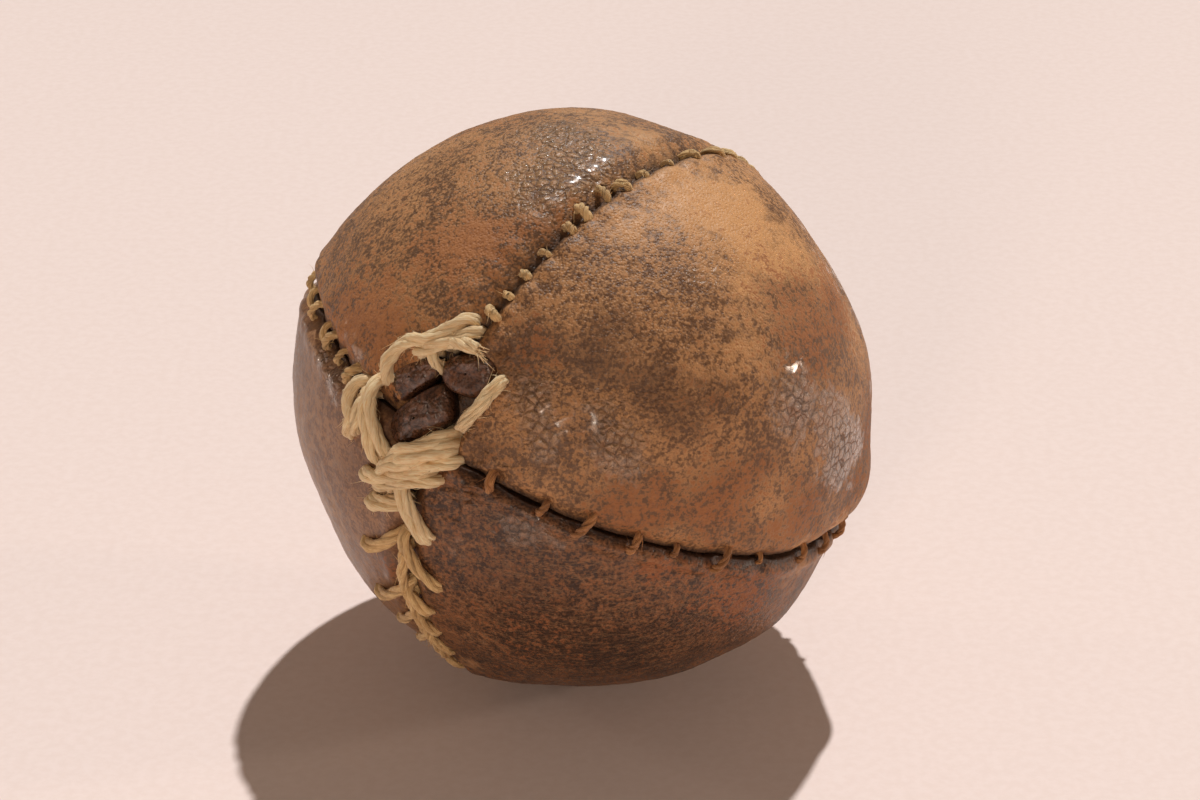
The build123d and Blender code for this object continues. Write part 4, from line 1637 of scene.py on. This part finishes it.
@dataclass
class Studio:
    """Pale floor, a high key light from behind, soft fills and the camera.

    Args:
        ball: The ball that it looks at.
        distance: Metres from the ball's middle to the camera.
        lens: Focal length in millimetres.
        aim_right: Metres that the camera aims to the right of the middle.
        aim_down: Metres that it aims below the middle.
        sun_azimuth: Degrees of the key light from straight behind, to the right.
        sun_altitude: Degrees of the key light above the floor.
        sun_power: Strength of the key light.
    """

    ball: BallFrame
    distance: float = 0.444
    lens: float = 103.3
    aim_right: float = 0.00245
    aim_down: float = 0.00039
    sun_azimuth: float = 18.0
    sun_altitude: float = 61.0
    sun_power: float = 2.85

    def floor(self) -> None:
        """A wide pale floor just under the ball."""
        half = 3.0
        mesh = bpy.data.meshes.new("floor")
        corners = [(-half, -half, 0), (half, -half, 0), (half, half, 0), (-half, half, 0)]
        mesh.from_pydata(corners, [], [(0, 1, 2, 3)])
        floor = bpy.data.objects.new("floor", mesh)
        bpy.context.scene.collection.objects.link(floor)
        material, graph, shader = blank_material("pale_floor")
        tone = graph.noise(graph.place(), 700.0, 3.0, 0.6)
        low, high = (shade(*each) for each in FLOOR_TONES)
        graph.feed(shader.inputs["Base Color"], graph.mix(graph.step(tone, 0.3, 0.7), low, high))
        shader.inputs["Roughness"].default_value = 0.85
        floor.data.materials.append(material)

    def lamp(self, name: str, way: tuple[float, float, float], distance: float, size: float,
             power: float) -> None:
        """Square soft light that faces the ball.

        Args:
            name: Its name.
            way: Direction from the ball towards it.
            distance: Metres from the ball.
            size: Side of its square in metres.
            power: Watts.
        """
        light = bpy.data.lights.new(name, "AREA")
        light.size = size
        light.energy = power
        light.color = WARM
        self.point_at(bpy.data.objects.new(name, light), way, distance)

    def point_at(self, thing: bpy.types.Object, way: tuple[float, float, float], distance: float) -> None:
        """Links a light and turns it to the ball."""
        middle = Vector(self.ball.centre * MM)
        toward = Vector(way).normalized()
        thing.location = middle + toward * distance
        thing.rotation_euler = toward.to_track_quat("Z", "Y").to_euler()
        bpy.context.scene.collection.objects.link(thing)

    def lights(self) -> None:
        """The key light, the two fills and the pale surroundings."""
        key = bpy.data.lights.new("key", "SUN")
        key.energy = self.sun_power
        key.angle = math.radians(1.5)
        azimuth, altitude = math.radians(self.sun_azimuth), math.radians(self.sun_altitude)
        level = math.cos(altitude)
        way = (math.sin(azimuth) * level, math.cos(azimuth) * level, math.sin(altitude))
        self.point_at(bpy.data.objects.new("key", key), way, 2.0)
        self.lamp("right_fill", (1.0, 0.05, 0.14), 0.7, 0.06, 0.95)
        self.lamp("front_fill", (-0.2, -0.95, 0.3), 0.8, 0.11, 1.35)
        self.lamp("left_fill", (-0.9, 0.4, 0.16), 0.7, 0.06, 0.35)
        world = bpy.data.worlds.new("surroundings")
        world.use_nodes = True
        world.node_tree.nodes["Background"].inputs[0].default_value = (*WARM, 1.0)
        world.node_tree.nodes["Background"].inputs[1].default_value = 0.13
        bpy.context.scene.world = world

    def camera(self) -> None:
        """Camera in front of the ball, looking down by VIEW_ELEVATION."""
        tilt = math.radians(VIEW_ELEVATION)
        middle = Vector(self.ball.centre * MM)
        back = Vector((0, -math.cos(tilt), math.sin(tilt)))
        down = Vector((0, -math.sin(tilt), -math.cos(tilt)))
        camera = bpy.data.cameras.new("camera")
        camera.lens = self.lens
        camera.sensor_width = 36.0
        camera.clip_start = 0.01
        thing = bpy.data.objects.new("camera", camera)
        thing.location = middle + back * self.distance
        aim = middle + Vector((1, 0, 0)) * self.aim_right + down * self.aim_down
        thing.rotation_euler = (thing.location - aim).to_track_quat("Z", "Y").to_euler()
        bpy.context.scene.collection.objects.link(thing)
        bpy.context.scene.camera = thing

    def build(self) -> None:
        """Sets up everything that isn't the ball."""
        self.floor()
        self.lights()
        self.camera()
        bpy.context.scene.view_settings.view_transform = "Standard"


# ---------------------------------------------------------------- the whole ball

def main() -> None:
    """Builds every piece of the ball from the inside out, and the studio round it."""
    logging.basicConfig(level=logging.INFO, format="%(name)s: %(message)s")
    ball = BallFrame()
    cover = Cover(ball)
    effects = Effects()
    leathers = {name: finish.make(effects) for name, finish in LEATHERS.items()}
    twine, waxed, cord = (finish.make(effects) for finish in (TWINE_FINISH, WAXED_FINISH, CORD_FINISH))
    cork, yarn, wool = (finish.make(effects) for finish in (CORK_FINISH, YARN_FINISH, WOOL_FINISH))

    finish_piece(RoundLayer(ball, "cork_ball", CORE_RADIUS, 0.0, 0.15).build(), ("cork_core",), cork)
    finish_piece(RoundLayer(ball, "yarn_turns", YARN_RADIUS, CORE_RADIUS + PACKING_GAP, 0.45, True).build(),
                 ("yarn_winding",), yarn)
    packing = RoundLayer(ball, "wool_packing", WOOL_RADIUS, YARN_RADIUS + PACKING_GAP, 0.2).build()
    finish_piece(packing, ("wool_stuffing",), wool)
    for panel in Panel:
        name = panel.value
        pad = WoolPad(cover, panel).build()
        finish_piece(pad, (name + "_wool_pad",), wool)
        finish_piece(Gore(cover, panel).build(), (name + "_panel",), leathers[name])
    for tab in TABS:
        finish_piece(tab.build(cover), (tab.node,), leathers["tab"])
    for seam in (Seam.RIGHT, Seam.UPPER, Seam.LEFT):
        slot, material = ("waxed_twine", waxed) if seam is Seam.RIGHT else ("twine", twine)
        finish_piece(SeamTwine(cover, seam).build(), (seam.name.lower() + "_seam_twine",), material)
    finish_piece(Herringbone(cover).build(), ("lower_seam_twine",), twine)
    for number, lashing in enumerate(LASHINGS):
        finish_piece(lashing.build(cover, 300 + 10 * number), (lashing.node,), cord)
    finish_piece(RearStitches().build(cover), ("rear_pole_stitches",), twine)
    Studio(ball).build()


if __name__ == "__main__":
    main()
